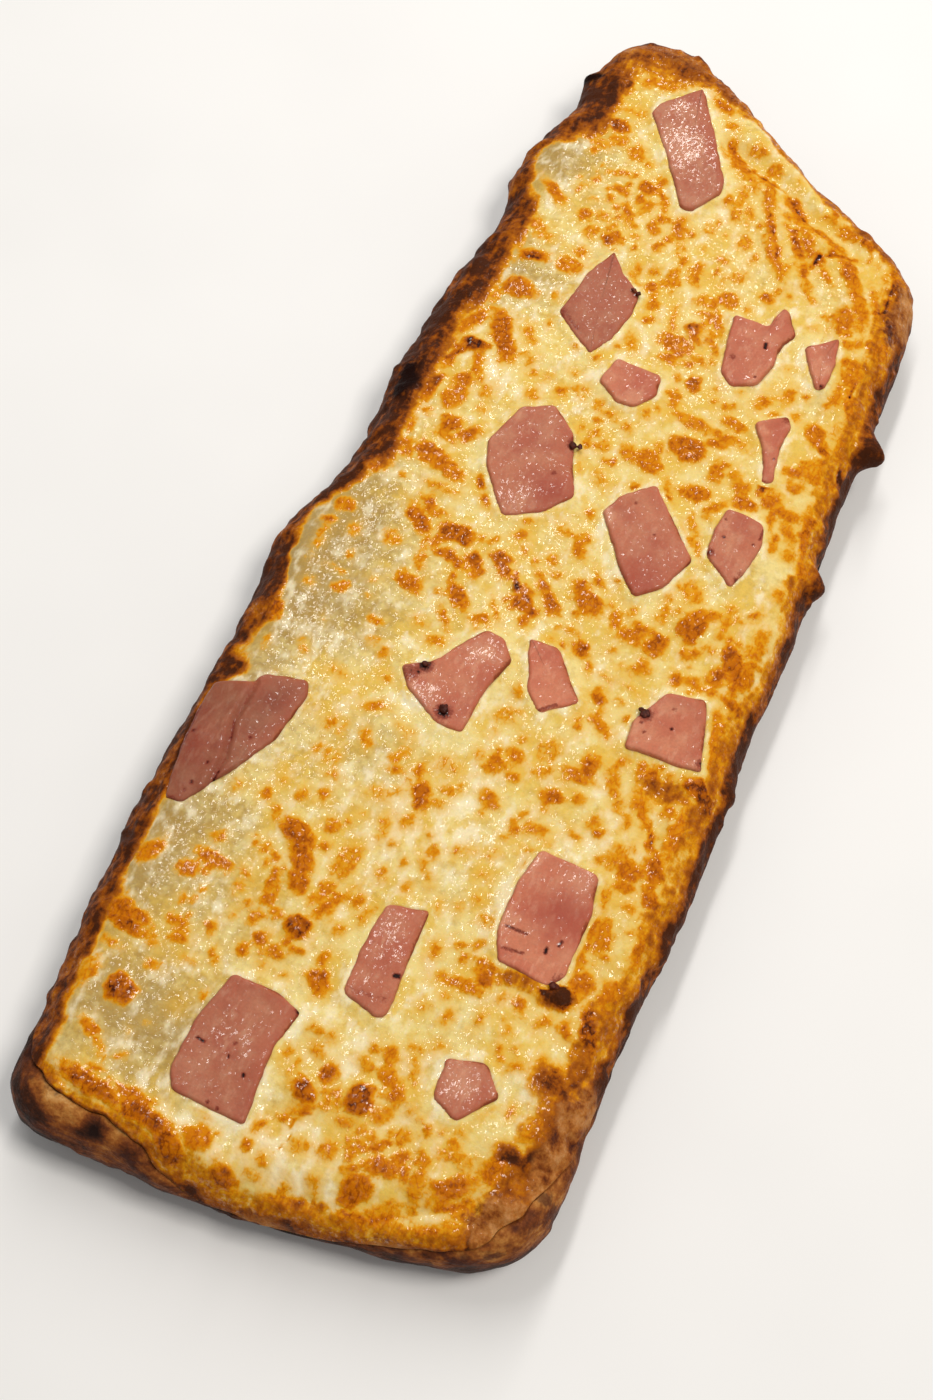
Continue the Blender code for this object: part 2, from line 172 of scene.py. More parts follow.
@dataclass(frozen=True)
class Outline:
    """The bread seen from above: a plain rounded rectangle bent to four edge curves.

    Each edge is (place along it, distance from the centre line), near to far or left to right.
    """

    half_width: float = 52.0
    half_length: float = 148.0
    corner_radius: float = 12.0
    left: Table = field(default_factory=lambda: [
        (-152, -48), (-133, -48), (-112, -50), (-92, -51.8), (-60, -52.2), (-36, -52.4),
        (-18, -54.3), (-9, -52.2), (0, -49.3), (30, -49.4), (60, -48.4), (79, -45.8),
        (95, -48.5), (114, -44), (150, -41.5)])
    right: Table = field(default_factory=lambda: [
        (-152, 50), (-126, 51.8), (-88, 51.8), (-72, 53), (-45, 53), (-25, 52.2),
        (0, 53), (22, 51.6), (50, 51.5), (80, 51.3), (100, 50), (125, 48)])
    near: Table = field(default_factory=lambda: [
        (-56, -150.5), (-40, -150), (-12, -149.5), (6, -148), (22, -145.4), (40, -141.8),
        (56, -137)])
    far: Table = field(default_factory=lambda: [
        (-56, 142.5), (-40, 145), (-28, 144.8), (-19, 140.5), (0, 128.8), (20, 115.6),
        (40, 105.8), (56, 96)])

    def bend(self, plain: Points) -> Points:
        """Plain rectangle points bent to the real outline."""
        x, y = plain[:, 0], plain[:, 1]
        near, far = along(self.near, x), along(self.far, x)
        real_y = near + (far - near) * (y + self.half_length) / (2 * self.half_length)
        left, right = along(self.left, real_y), along(self.right, real_y)
        real_x = left + (right - left) * (x + self.half_width) / (2 * self.half_width)
        return np.column_stack([real_x, real_y])

    def unbend(self, real: Points) -> Points:
        """The way back from a place on the bread to the plain rectangle."""
        x, y = real[:, 0], real[:, 1]
        left, right = along(self.left, y), along(self.right, y)
        plain_x = -self.half_width + 2 * self.half_width * (x - left) / (right - left)
        near, far = along(self.near, plain_x), along(self.far, plain_x)
        plain_y = -self.half_length + 2 * self.half_length * (y - near) / (far - near)
        return np.column_stack([plain_x, plain_y])

    def inset(self, real: Points) -> Values:
        """How far each place lies inside the bread's widest line."""
        limit = np.array([self.half_width, self.half_length]) - self.corner_radius
        beyond = np.abs(self.unbend(real)) - limit
        outside = np.linalg.norm(np.maximum(beyond, 0.0), axis=1)
        inside = np.minimum(np.max(beyond, axis=1), 0.0)
        return self.corner_radius - outside - inside


@dataclass(frozen=True)
class TopForm:
    """Heights of the bread: the shoulder's round, soft swells, and the folds of the baked top.

    A fold is (points along it, height, width), and a height below zero is a crease.
    """

    outline: Outline
    cheese_top: float = 18.5
    widest_z: float = 9.5
    shoulder: float = 10.0
    undercut: float = 4.5
    folds: list = field(default_factory=lambda: [
        ([(-3, 116), (9, 111), (19, 104), (33, 96)], -1.3, 3.0),
        ([(4, 121), (18, 112), (36, 103)], 0.9, 5.0),
        ([(11, 107), (15, 96), (20, 85)], 0.7, 4.0),
        ([(22, 99), (32, 93), (38, 82), (40, 70)], 1.0, 4.5),
        ([(44, 96), (46, 78), (46, 55)], 0.8, 4.0),
        ([(43, -30), (41, -50), (44, -66)], -0.8, 3.5),
        ([(47, -20), (46, -50), (46, -80)], 0.7, 4.0),
        ([(38, -107), (45, -109), (46, -116), (40, -121)], 1.3, 4.5),
        ([(44, -103), (50, -113), (45, -124)], -0.9, 3.0),
        ([(6, -143), (24, -139), (40, -134)], -1.1, 3.0),
        ([(-44, -122), (-37, -137), (-20, -143), (-6, -146)], 1.0, 5.0),
        ([(-46, 60), (-45, 20), (-46, 0)], 0.8, 5.0)])

    def fold_height(self, real: Points) -> Values:
        """Rolls and creases, summed at places on the bread."""
        total = np.zeros(len(real))
        for path, height, width in self.folds:
            total += height * np.exp(-((distance_to_path(real, path) / width) ** 2))
        return total

    def shoulder_height(self, real: Points) -> Values:
        """The plain flat top and its rounded shoulder."""
        slope = 1.0 - np.clip(self.outline.inset(real) / self.shoulder, 0.0, 1.0)
        drop = 1.0 - np.sqrt(1.0 - np.minimum(slope, 0.995) ** 2)
        return self.cheese_top - (self.cheese_top - self.widest_z) * drop

    def height(self, real: Points) -> Values:
        """Height of the cheese before its blisters, at places on the bread."""
        level = on_level(real)
        swell = 0.55 * noise(level, 38.0, 3) + 0.25 * noise(level, 17.0, 5)
        fade = smooth_step(self.outline.inset(real) / 6.0)
        return self.shoulder_height(real) + swell + self.fold_height(real) * fade


def distance_to_path(real: Points, path: list) -> Values:
    """Distance from plan points to a line of straight runs.

    Args:
        real: the plan points.
        path: the line's points in order.

    Returns:
        The shortest distance for each point.
    """
    nearest = np.full(len(real), 1e9)
    for start, end in zip(path[:-1], path[1:]):
        start, run = np.array(start, float), np.subtract(end, start).astype(float)
        share = np.clip(((real - start) @ run) / (run @ run), 0.0, 1.0)
        nearest = np.minimum(nearest, np.linalg.norm(real - start - share[:, None] * run, axis=1))
    return nearest


def signed_distance(real: Points, loop: Points) -> Values:
    """Distance to a closed outline, below zero inside it.

    Args:
        real: the plan points.
        loop: the outline's points, going round.

    Returns:
        The signed distance for each point.
    """
    path = [tuple(point) for point in np.vstack([loop, loop[:1]])]
    distance = distance_to_path(real, path)
    inside = np.zeros(len(real), bool)
    x, y = real[:, 0], real[:, 1]
    for (x0, y0), (x1, y1) in zip(path[:-1], path[1:]):
        if y0 == y1:
            continue
        crosses = (y0 > y) != (y1 > y)
        inside ^= crosses & (x < x0 + (y - y0) * (x1 - x0) / (y1 - y0))
    return np.where(inside, -distance, distance)


@dataclass(frozen=True)
class Browning:
    """Where the oven has browned the cheese: listed blisters and seeded smaller ones.

    A mark is (x, y, length, width, turn in degrees, bake from 0 to 1.4). A zone is (x, y, reach
    across, reach along, share of cells browned).
    """

    marks: Table
    large_zones: Table
    small_zones: Table
    cell: float = 4.4
    small_cell: float = 2.5
    stretch: float = 1.3
    squareness: float = 2.6

    def mark_depth(self, real: Points) -> tuple[Values, Values]:
        """How deep inside the listed blisters each place lies.

        Args:
            real: the plan points.

        Returns:
            The depth in millimetres and the bake of the blister that holds the place.
        """
        level = on_level(real)
        shift = 0.55 * np.column_stack([noise(level, 2.6, 41), noise(level, 2.6, 42)])
        shift += 0.35 * np.column_stack([noise(level, 1.3, 43), noise(level, 1.3, 44)])
        depth = np.full(len(real), OUTSIDE)
        bake = np.zeros(len(real))
        for x, y, length, width, turn, done in self.marks:
            reach = max(length, width)
            near = np.nonzero(np.all(np.abs(real - (x, y)) < 0.6 * reach + 4.5, axis=1))[0]
            local = real[near] + shift[near] - (x, y)
            cos, sin = math.cos(math.radians(turn)), math.sin(math.radians(turn))
            down = np.abs(local[:, 0] * cos + local[:, 1] * sin) / (length / 2)
            across = np.abs(-local[:, 0] * sin + local[:, 1] * cos) / (width / 2)
            power = self.squareness
            inside = (1.0 - (down ** power + across ** power) ** (1 / power)) * min(length, width) / 2
            better = inside > depth[near]
            depth[near[better]] = inside[better]
            bake[near[better]] = done
        return depth, bake

    def cell_depth(self, real: Points, cell: float, zones: Table, seed: int) -> tuple[Values, Values]:
        """How deep inside seeded cells each place lies.

        Args:
            real: the plan points.
            cell: how wide a cell is, in millimetres.
            zones: where cells are browned.
            seed: which pattern.

        Returns:
            The depth in millimetres and the bake of the cell.
        """
        level = on_level(real)
        warp = 0.16 * cell * np.column_stack([noise(level, cell * 0.7, seed + 1),
                                              noise(level, cell * 0.7, seed + 2)])
        size = np.array([cell, cell * self.stretch])
        place = (real + warp) / size
        base = np.floor(place).astype(int)
        random = np.random.default_rng(seed).random((4096, 5))
        depth = np.full(len(real), OUTSIDE)
        bake = np.zeros(len(real))
        for step in np.ndindex(3, 3):
            at = base + np.array(step) - 1
            key = (at[:, 0] * 7919 + at[:, 1] * 104729) % 4096
            centre = at + 0.12 + 0.76 * random[key, :2]
            chosen = patches(centre * size, zones, 2.0) > random[key, 2]
            inside = 0.2 + 0.3 * random[key, 3] - np.linalg.norm(place - centre, axis=1)
            better = chosen & (inside > depth)
            depth = np.where(better, inside, depth)
            bake = np.where(better, 0.2 + 0.42 * random[key, 4], bake)
        return depth * cell, bake

    def blisters(self, real: Points) -> tuple[Values, Values]:
        """Every blister together: depth inside it in millimetres, and its bake."""
        depth, bake = self.mark_depth(real)
        for cell, zones, seed in ((self.cell, self.large_zones, 61),
                                  (self.small_cell, self.small_zones, 71)):
            other, done = self.cell_depth(real, cell, zones, seed)
            bake = np.where(other > depth, done, bake)
            depth = np.maximum(depth, other)
        return np.clip(depth, -4.0, 2.0), bake


class HamShape:
    """One piece of ham in plan: its corners, rounded and filled in with even steps."""

    def __init__(self, corners: list, cut: float = 0.55, step: float = HAM_STEP) -> None:
        """Round the corners and resample.

        Args:
            corners: the outline's corners, going round, in millimetres.
            cut: how far from a corner its rounding starts.
            step: distance between the finished outline's points.
        """
        points = np.array(corners, float)
        for reach in (cut, cut * 0.35):
            rounded = []
            for index, corner in enumerate(points):
                for other in (points[index - 1], points[(index + 1) % len(points)]):
                    run = other - corner
                    length = np.linalg.norm(run)
                    rounded.append(corner + run / length * min(reach, 0.3 * length))
            points = np.array(rounded)
        closed = np.vstack([points, points[:1]])
        lengths = np.concatenate([[0.0], np.cumsum(np.linalg.norm(np.diff(closed, axis=0), axis=1))])
        count = int(lengths[-1] / step)
        at = np.linspace(0.0, lengths[-1], count, endpoint=False)
        self.loop = np.column_stack([np.interp(at, lengths, closed[:, axis]) for axis in (0, 1)])
        wobble = noise(on_level(self.loop), 2.4, 81) + 0.5 * noise(on_level(self.loop), 1.1, 82)
        self.loop = self.grown(0.16 * wobble)
        self.middle = self.loop.mean(axis=0)

    def grown(self, distance: Values | float) -> Points:
        """The outline moved outward by a distance."""
        ahead = np.roll(self.loop, -1, axis=0) - np.roll(self.loop, 1, axis=0)
        ahead /= np.linalg.norm(ahead, axis=1)[:, None]
        normal = np.column_stack([ahead[:, 1], -ahead[:, 0]])
        after = np.roll(self.loop, -1, axis=0)
        area = np.sum(self.loop[:, 0] * after[:, 1] - self.loop[:, 1] * after[:, 0])
        return self.loop + normal * np.sign(area) * np.asarray(distance).reshape(-1, 1)


class Rim:
    """The closed line round the middle grid, and the rings that grow outward from it."""

    def __init__(self, form: TopForm, spacing: float) -> None:
        """Lay out the line.

        Args:
            form: the bread's heights.
            spacing: distance between points, in millimetres.
        """
        self.form = form
        self.outline = form.outline
        radius = self.outline.corner_radius
        self.half = np.array([self.outline.half_width, self.outline.half_length]) - radius
        self.across = round(2 * self.half[0] / spacing)
        self.long = round(2 * self.half[1] / spacing)
        corner_steps = round(radius * math.pi / 2 / spacing)
        anchors, outward = [], []
        sides = [((-1, -1), (1, -1), self.across, -90), ((1, -1), (1, 1), self.long, 0),
                 ((1, 1), (-1, 1), self.across, 90), ((-1, 1), (-1, -1), self.long, 180)]
        for start, end, count, angle in sides:
            for step in range(count + 1):
                share = step / count
                anchors.append(self.half * (np.array(start) + (np.array(end) - start) * share))
                outward.append(math.radians(angle))
            for step in range(1, corner_steps):
                anchors.append(self.half * np.array(end))
                outward.append(math.radians(angle + 90 * step / corner_steps))
        self.anchor = np.array(anchors)
        self.outward = np.column_stack([np.cos(outward), np.sin(outward)])
        self.count = len(self.anchor)

    def ring(self, travel: Values | float) -> dict[str, Values]:
        """The side's surface at one travel: 0 is the flat top, 1 the widest line, 2 the underside.

        Args:
            travel: how far over the side, the same all round or one value for each point.

        Returns:
            Plain radius from the middle line, height, and the normal's outward and upward parts.
        """
        form = self.form
        travel = np.broadcast_to(np.asarray(travel, float), self.count)
        top = np.minimum(travel, 1.0) * math.pi / 2
        low = np.clip(travel - 1.0, 0.0, 1.0)
        rise = form.cheese_top - form.widest_z
        inset = form.shoulder * (1.0 - np.sin(top)) + form.undercut * low ** 2
        height = form.widest_z + rise * np.cos(top) - form.widest_z * low
        across = np.where(travel > 1.0, form.widest_z, rise * np.sin(top))
        upward = np.where(travel > 1.0, -2 * form.undercut * low, form.shoulder * np.cos(top))
        length = np.hypot(across, upward)
        return {"radius": self.outline.corner_radius - inset, "height": height,
                "across": across / length, "upward": upward / length}

    def plan(self, radius: Values | float) -> Points:
        """Real plan points at a plain radius from the middle line."""
        return self.outline.bend(self.anchor + self.outward * np.asarray(radius).reshape(-1, 1))


class MeshMaker:
    """Gathers points, faces and per-point values, and makes one object of them."""

    def __init__(self, name: str) -> None:
        """Start an empty mesh for a piece of this name."""
        self.name = name
        self.points: list[Points] = []
        self.faces: list[tuple[int, ...]] = []
        self.values: dict[str, list[Values]] = {}
        self.count = 0

    def add_points(self, points: Points, **values: Values) -> int:
        """Add points with their values.

        Args:
            points: places in millimetres.
            **values: one named array for each finish value.

        Returns:
            The index of the first new point.
        """
        first = self.count
        self.points.append(points)
        self.count += len(points)
        for name, array in values.items():
            self.values.setdefault(name, []).append(np.broadcast_to(array, len(points)))
        return first

    def bridge(self, inner: int, outer: int, count: int) -> None:
        """Quads between two closed rings of `count` points."""
        here = np.arange(count)
        after = (here + 1) % count
        quads = np.column_stack([inner + here, outer + here, outer + after, inner + after])
        self.faces.extend(map(tuple, quads.tolist()))

    def grid(self, first: int, across: int, long: int) -> None:
        """Quads of a grid of points, `across` by `long` cells."""
        row = across + 1
        at = (first + np.arange(long)[:, None] * row + np.arange(across)).ravel()
        self.faces.extend(map(tuple, np.column_stack([at, at + 1, at + row + 1, at + row]).tolist()))

    def build(self, material: bpy.types.Material) -> bpy.types.Object:
        """Make the object.

        Args:
            material: the finish of every face.

        Returns:
            The new object, smooth and with doubled points joined.
        """
        mesh = bpy.data.meshes.new(self.name)
        mesh.from_pydata(((np.vstack(self.points) - MIDDLE) * MM).tolist(), [], self.faces)
        for name, arrays in self.values.items():
            layer = mesh.attributes.new(name, "FLOAT", "POINT")
            layer.data.foreach_set("value", np.concatenate(arrays).astype(np.float32))
        work = bmesh.new()
        work.from_mesh(mesh)
        bmesh.ops.remove_doubles(work, verts=work.verts, dist=2e-6)
        bmesh.ops.recalc_face_normals(work, faces=work.faces)
        work.to_mesh(mesh)
        work.free()
        mesh.materials.append(material)
        mesh.shade_smooth()
        thing = bpy.data.objects.new(self.name, mesh)
        bpy.context.collection.objects.link(thing)
        return thing


def srgb(code: str) -> tuple[float, float, float, float]:
    """An sRGB hex colour as linear red, green, blue and alpha."""
    parts = [int(code[start:start + 2], 16) / 255 for start in (1, 3, 5)]
    linear = [part / 12.92 if part <= 0.04045 else ((part + 0.055) / 1.055) ** 2.4 for part in parts]
    return (*linear, 1.0)


def add_node(tree: bpy.types.NodeTree, kind: str, settings: dict | None = None,
             inputs: dict | None = None) -> bpy.types.Node:
    """Add a node with its settings, values and links.

    Args:
        tree: the material's node tree.
        kind: the node's type name without the word ShaderNode.
        settings: the node's own properties.
        inputs: sockets by name or number, each set to a value or linked from an output socket.

    Returns:
        The new node.
    """
    node = tree.nodes.new("ShaderNode" + kind)
    for name, value in (settings or {}).items():
        setattr(node, name, value)
    for socket, value in (inputs or {}).items():
        if isinstance(value, Socket):
            tree.links.new(value, node.inputs[socket])
        else:
            node.inputs[socket].default_value = value
    return node


class Board:
    """A material's node tree with short ways to combine values, all through add_node."""

    def __init__(self, name: str) -> None:
        """Start an empty material of this name."""
        self.material = bpy.data.materials.new(name)
        self.material.use_nodes = True
        self.tree = self.material.node_tree
        self.tree.nodes.clear()
        self.place = self.add("TexCoord").outputs["Object"]

    def add(self, kind: str, settings: dict | None = None, inputs: dict | None = None) -> bpy.types.Node:
        """Add a node to this material."""
        return add_node(self.tree, kind, settings, inputs)

    def value(self, name: str) -> Socket:
        """A value stored on the mesh's points."""
        return self.add("Attribute", {"attribute_name": name}).outputs["Fac"]

    def grain(self, size: float, detail: float = 2.0, stretch: tuple = (1, 1, 1)) -> Socket:
        """Noise whose lumps are `size` millimetres long, from about 0.3 to 0.7."""
        place = self.add("Mapping", {}, {"Vector": self.place, "Scale": stretch}).outputs[0]
        wanted = {"Vector": place, "Scale": 1.0 / (size * MM), "Detail": detail, "Roughness": 0.55}
        return self.add("TexNoise", {}, wanted).outputs["Fac"]

    def swing(self, size: float, detail: float, stretch: tuple = (1, 1, 1)) -> Socket:
        """Grain moved to lie round zero."""
        return self.sum("SUBTRACT", self.grain(size, detail, stretch), 0.5)

    def stirred(self, base: object, *parts: tuple[Socket, float]) -> Socket:
        """A value with shares of others added, each part being (value, amount)."""
        for value, amount in parts:
            base = self.sum("MULTIPLY_ADD", value, amount, base)
        return base

    def sum(self, operation: str, first: object, second: object = 0.0, third: object = 0.0) -> Socket:
        """A Math node."""
        inputs = {0: first, 1: second, 2: third}
        return self.add("Math", {"operation": operation}, inputs).outputs[0]

    def soft(self, value: Socket, start: float, end: float, low: float = 0.0, high: float = 1.0) -> Socket:
        """`low` up to `start`, `high` from `end`, soft between them."""
        settings = {"interpolation_type": "SMOOTHSTEP"}
        inputs = {"Value": value, 1: start, 2: end, 3: low, 4: high}
        return self.add("MapRange", settings, inputs).outputs[0]

    def mix(self, share: object, first: object, second: object) -> Socket:
        """One colour laid over another."""
        settings = {"data_type": "RGBA", "clamp_factor": True}
        return self.add("Mix", settings, {0: share, 6: first, 7: second}).outputs[2]

    def scale_colour(self, colour: object, amount: object) -> Socket:
        """A colour made lighter or darker."""
        settings = {"operation": "SCALE"}
        return self.add("VectorMath", settings, {0: colour, "Scale": amount}).outputs[0]

    def colours(self, value: Socket, stops: Stops) -> Socket:
        """A colour read from stops of (position, sRGB hex)."""
        node = self.add("ValToRGB", {}, {"Fac": value})
        band = node.color_ramp
        while len(band.elements) < len(stops):
            band.elements.new(0.5)
        for element, (position, code) in zip(band.elements, stops):
            element.position = position
            element.color = srgb(code)
        return node.outputs["Color"]

    def bump(self, height: Socket, depth: float, under: Socket | None = None) -> Socket:
        """Relief `depth` millimetres deep, on top of another if given."""
        inputs = {"Height": height, "Distance": depth * MM, "Strength": 1.0}
        if under is not None:
            inputs["Normal"] = under
        return self.add("Bump", {}, inputs).outputs[0]

    def finish(self, **inputs: object) -> bpy.types.Material:
        """Close the tree with a Principled shader.

        Args:
            **inputs: the shader's sockets, with underscores for spaces.

        Returns:
            The finished material.
        """
        named = {name.replace("_", " "): value for name, value in inputs.items()}
        shader = self.add("BsdfPrincipled", {}, named)
        self.add("OutputMaterial", {}, {"Surface": shader.outputs[0]})
        return self.material


@dataclass(frozen=True)
class CheeseFinish:
    """Low-moisture cheese, melted and oven-browned: a smooth creamy body that turns golden, then brown.

    Browning deepens towards the middle of each blister, and small wet wrinkles catch the light.
    """

    cream: str = "#E8D28A"
    yellow: str = "#E0BC58"
    # Grey-olive of milky cheese, also used as painted shade on the left side.
    milky_and_shade: str = "#A2834C"
    # Curd-white, also painted as sheen at wet places and round the ham.
    curd_and_sheen: str = "#F5EAC8"
    yolk: str = "#DCA81C"
    ring: str = "#E0AE40"
    crisp: str = "#5E3418"
    char: str = "#1C0A06"
    baked: Stops = ((0.0, "#E4BC54"), (0.2, "#DEA634"), (0.36, "#DA9412"), (0.5, "#D07E06"),
                    (0.64, "#C06A06"), (0.8, "#9A4C06"), (0.92, "#5E280A"), (1.0, "#34120A"))
    bare: Stops = ((0.0, "#C48A52"), (0.3, "#A8682E"), (0.5, "#86481C"),
                   (0.68, "#602E14"), (0.84, "#42201A"), (1.0, "#2A120C"))

    def material(self) -> bpy.types.Material:
        """Build the finish."""
        board = Board("melted_browned_cheese")
        fine = board.swing(0.45, 3.0)
        middle = board.swing(1.6, 3.0)
        wide = board.swing(5.0, 3.0)
        spot = self.spot(board, fine, middle, wide)
        crust = self.crust(board, middle, wide)
        crease = board.stirred(board.value("crease"), (middle, 0.5))
        heat = board.sum("SMOOTH_MAX", spot, crust, 0.12)
        # Painted shade, along with browning: the creases are browned darker, as if in shade.
        heat = board.sum("ADD", heat, board.soft(crease, 0.1, 1.0, 0.0, 0.45))
        grainy = board.sum("MULTIPLY", fine, board.soft(heat, 0.1, 0.6))
        heat = board.stirred(heat, (grainy, 0.15))
        body = self.body(board, fine, middle)
        near = board.stirred(board.value("spot_depth"), (wide, 2.4), (middle, 1.2))
        halo = board.soft(near, -2.2, 0.0, 0.0, 0.6)
        clear = board.soft(board.value("pale"), 0.1, 0.7, 1.0, 0.35)
        body = board.mix(board.sum("MULTIPLY", halo, clear), body, srgb(self.ring))
        colour = board.mix(board.soft(heat, 0.03, 0.38), body, board.colours(heat, self.baked))
        colour = board.scale_colour(colour, board.stirred(1.0, (grainy, 0.35)))
        colour = board.mix(board.soft(crust, 0.25, 0.7, 0.0, 0.36), colour, srgb(self.crisp))
        colour = self.dough(board, colour, fine, middle, wide)
        char = board.stirred(board.value("char"), (middle, 0.6))
        colour = board.mix(board.soft(char, 0.3, 0.75), colour, srgb(self.char))
        wet = board.stirred(board.grain(0.75, 1.0), (board.value("oil"), 0.11), (wide, 0.2), (spot, -0.04))
        dry = board.soft(board.sum("ADD", crust, board.value("char")), 0.45, 0.85, 1.0, 0.06)
        coat = board.sum("MULTIPLY", board.soft(wet, 0.565, 0.605), dry)
        low = board.bump(board.grain(3.2, 2.0), 0.35)
        low = board.bump(board.grain(1.3, 2.0), 0.12, low)
        crisped = board.sum("MULTIPLY", board.soft(heat, 0.1, 0.6), board.grain(0.55, 2.0))
        relief = board.bump(crisped, 0.2, low)
        wrinkles = board.bump(board.grain(1.2, 2.0, (1.5, 0.8, 1)), 0.15, low)
        return board.finish(Base_Color=colour, Roughness=0.5, Normal=relief, IOR=1.45,
                            Specular_IOR_Level=0.04, Subsurface_Weight=0.2,
                            Subsurface_Radius=(1.0, 0.55, 0.2), Subsurface_Scale=0.0015,
                            Coat_Weight=coat, Coat_Roughness=0.08, Coat_Normal=wrinkles)

    def spot(self, board: Board, fine: Socket, middle: Socket, wide: Socket) -> Socket:
        """How brown the blisters are, from a soft golden ring to their darker middle."""
        edge = board.stirred(board.value("spot_depth"), (fine, 0.4), (middle, 1.2))
        most = board.sum("MULTIPLY_ADD", board.value("spot_bake"), 0.7, 0.17)
        most = board.stirred(most, (middle, 0.45), (wide, 0.25))
        vein = board.sum("ABSOLUTE", board.swing(2.0, 2.0, (1.3, 0.8, 1)))
        most = board.sum("ADD", board.soft(vein, 0.0, 0.09, 0.10, -0.05), most)
        return board.sum("MULTIPLY", board.soft(edge, -1.05, 0.85), most)

    def crust(self, board: Board, middle: Socket, wide: Socket) -> Socket:
        """How brown the crisp sides are, streaked along them."""
        plain = board.value("crust")
        streak = board.swing(2.6, 4.0, (2.2, 0.45, 1))
        change = board.stirred(board.sum("MULTIPLY", wide, 0.5), (middle, 0.8), (streak, 0.55))
        return board.sum("MULTIPLY_ADD", change, board.soft(plain, 0.0, 0.3), plain)

    def body(self, board: Board, fine: Socket, middle: Socket) -> Socket:
        """The cheese's colour before browning: cream, yellow, curd-white with some painted sheen, milky with
        some painted shade, and yolk-yellow.

        Args:
            board: the material's node tree.
            fine: noise of 0.45 mm round zero.
            middle: noise of 1.6 mm round zero.

        Returns:
            The colour.
        """
        patch = board.stirred(board.grain(9.0, 3.0), (middle, 0.3))
        body = board.mix(board.soft(patch, 0.42, 0.62, 0.0, 0.95), srgb(self.cream), srgb(self.yellow))
        # Milky cheese, partly painted shade: the darker milky colour is laid on milky patches and towards
        # the left side.
        pale = board.stirred(board.value("pale"), (middle, 1.4))
        body = board.mix(board.soft(pale, -0.1, 1.1, 0.0, 0.86), body, srgb(self.milky_and_shade))
        # Curd-white streaks, with painted sheen at wet places and round each piece of ham.
        curds_and_sheen = board.swing(3.4, 3.0, (1.3, 0.8, 1))
        curds_and_sheen = board.stirred(curds_and_sheen, (board.value("curd_and_sheen"), 0.25), (pale, 0.01))
        body = board.mix(board.soft(curds_and_sheen, -0.02, 0.24, 0.0, 0.75), body, srgb(self.curd_and_sheen))
        body = board.mix(board.sum("MULTIPLY", board.value("yolk"), 0.6), body, srgb(self.yolk))
        return board.scale_colour(body, board.soft(fine, -0.2, 0.2, 0.965, 1.03))

    def dough(self, board: Board, colour: Socket, fine: Socket, middle: Socket, wide: Socket) -> Socket:
        """Bare browned dough where the cheese does not reach, laid over the cheese's colour."""
        bake = board.stirred(0.36, (wide, 1.6), (middle, 0.9), (fine, 0.4))
        bare = board.colours(bake, self.bare)
        share = board.stirred(board.value("dough"), (middle, 0.9))
        return board.mix(board.soft(share, 0.25, 0.6), colour, bare)


@dataclass(frozen=True)
class CrustFinish:
    """Wheat dough baked hard: a dry skin, tan where it swelled and near black where it burnt."""

    blotch: str = "#3E1C16"
    baked: Stops = ((0.0, "#D2A264"), (0.2, "#B97C3A"), (0.4, "#935420"),
                    (0.58, "#6C3616"), (0.78, "#42200F"), (1.0, "#200E08"))

    def material(self) -> bpy.types.Material:
        """Build the finish."""
        board = Board("baked_wheat_crust")
        fine = board.swing(0.5, 3.0)
        patch = board.swing(7.0, 4.0, (1, 1, 1.7))
        small = board.swing(2.0, 3.0, (0.8, 0.8, 1.9))
        bake = board.stirred(board.value("crust"), (patch, 1.3), (small, 0.75), (fine, 0.3))
        colour = board.colours(bake, self.baked)
        blotch = board.soft(board.grain(5.5, 3.0, (1, 1, 1.5)), 0.54, 0.64)
        colour = board.mix(board.sum("MULTIPLY", blotch, 0.7), colour, srgb(self.blotch))
        low = board.bump(board.grain(2.4, 4.0, (1, 1, 1.8)), 0.6)
        relief = board.bump(board.grain(0.5, 3.0), 0.14, low)
        rough = board.stirred(0.6, (fine, 0.4))
        return board.finish(Base_Color=colour, Roughness=rough, Normal=relief, IOR=1.45,
                            Specular_IOR_Level=0.15, Subsurface_Weight=0.08,
                            Subsurface_Radius=(1.0, 0.5, 0.25), Subsurface_Scale=0.001)


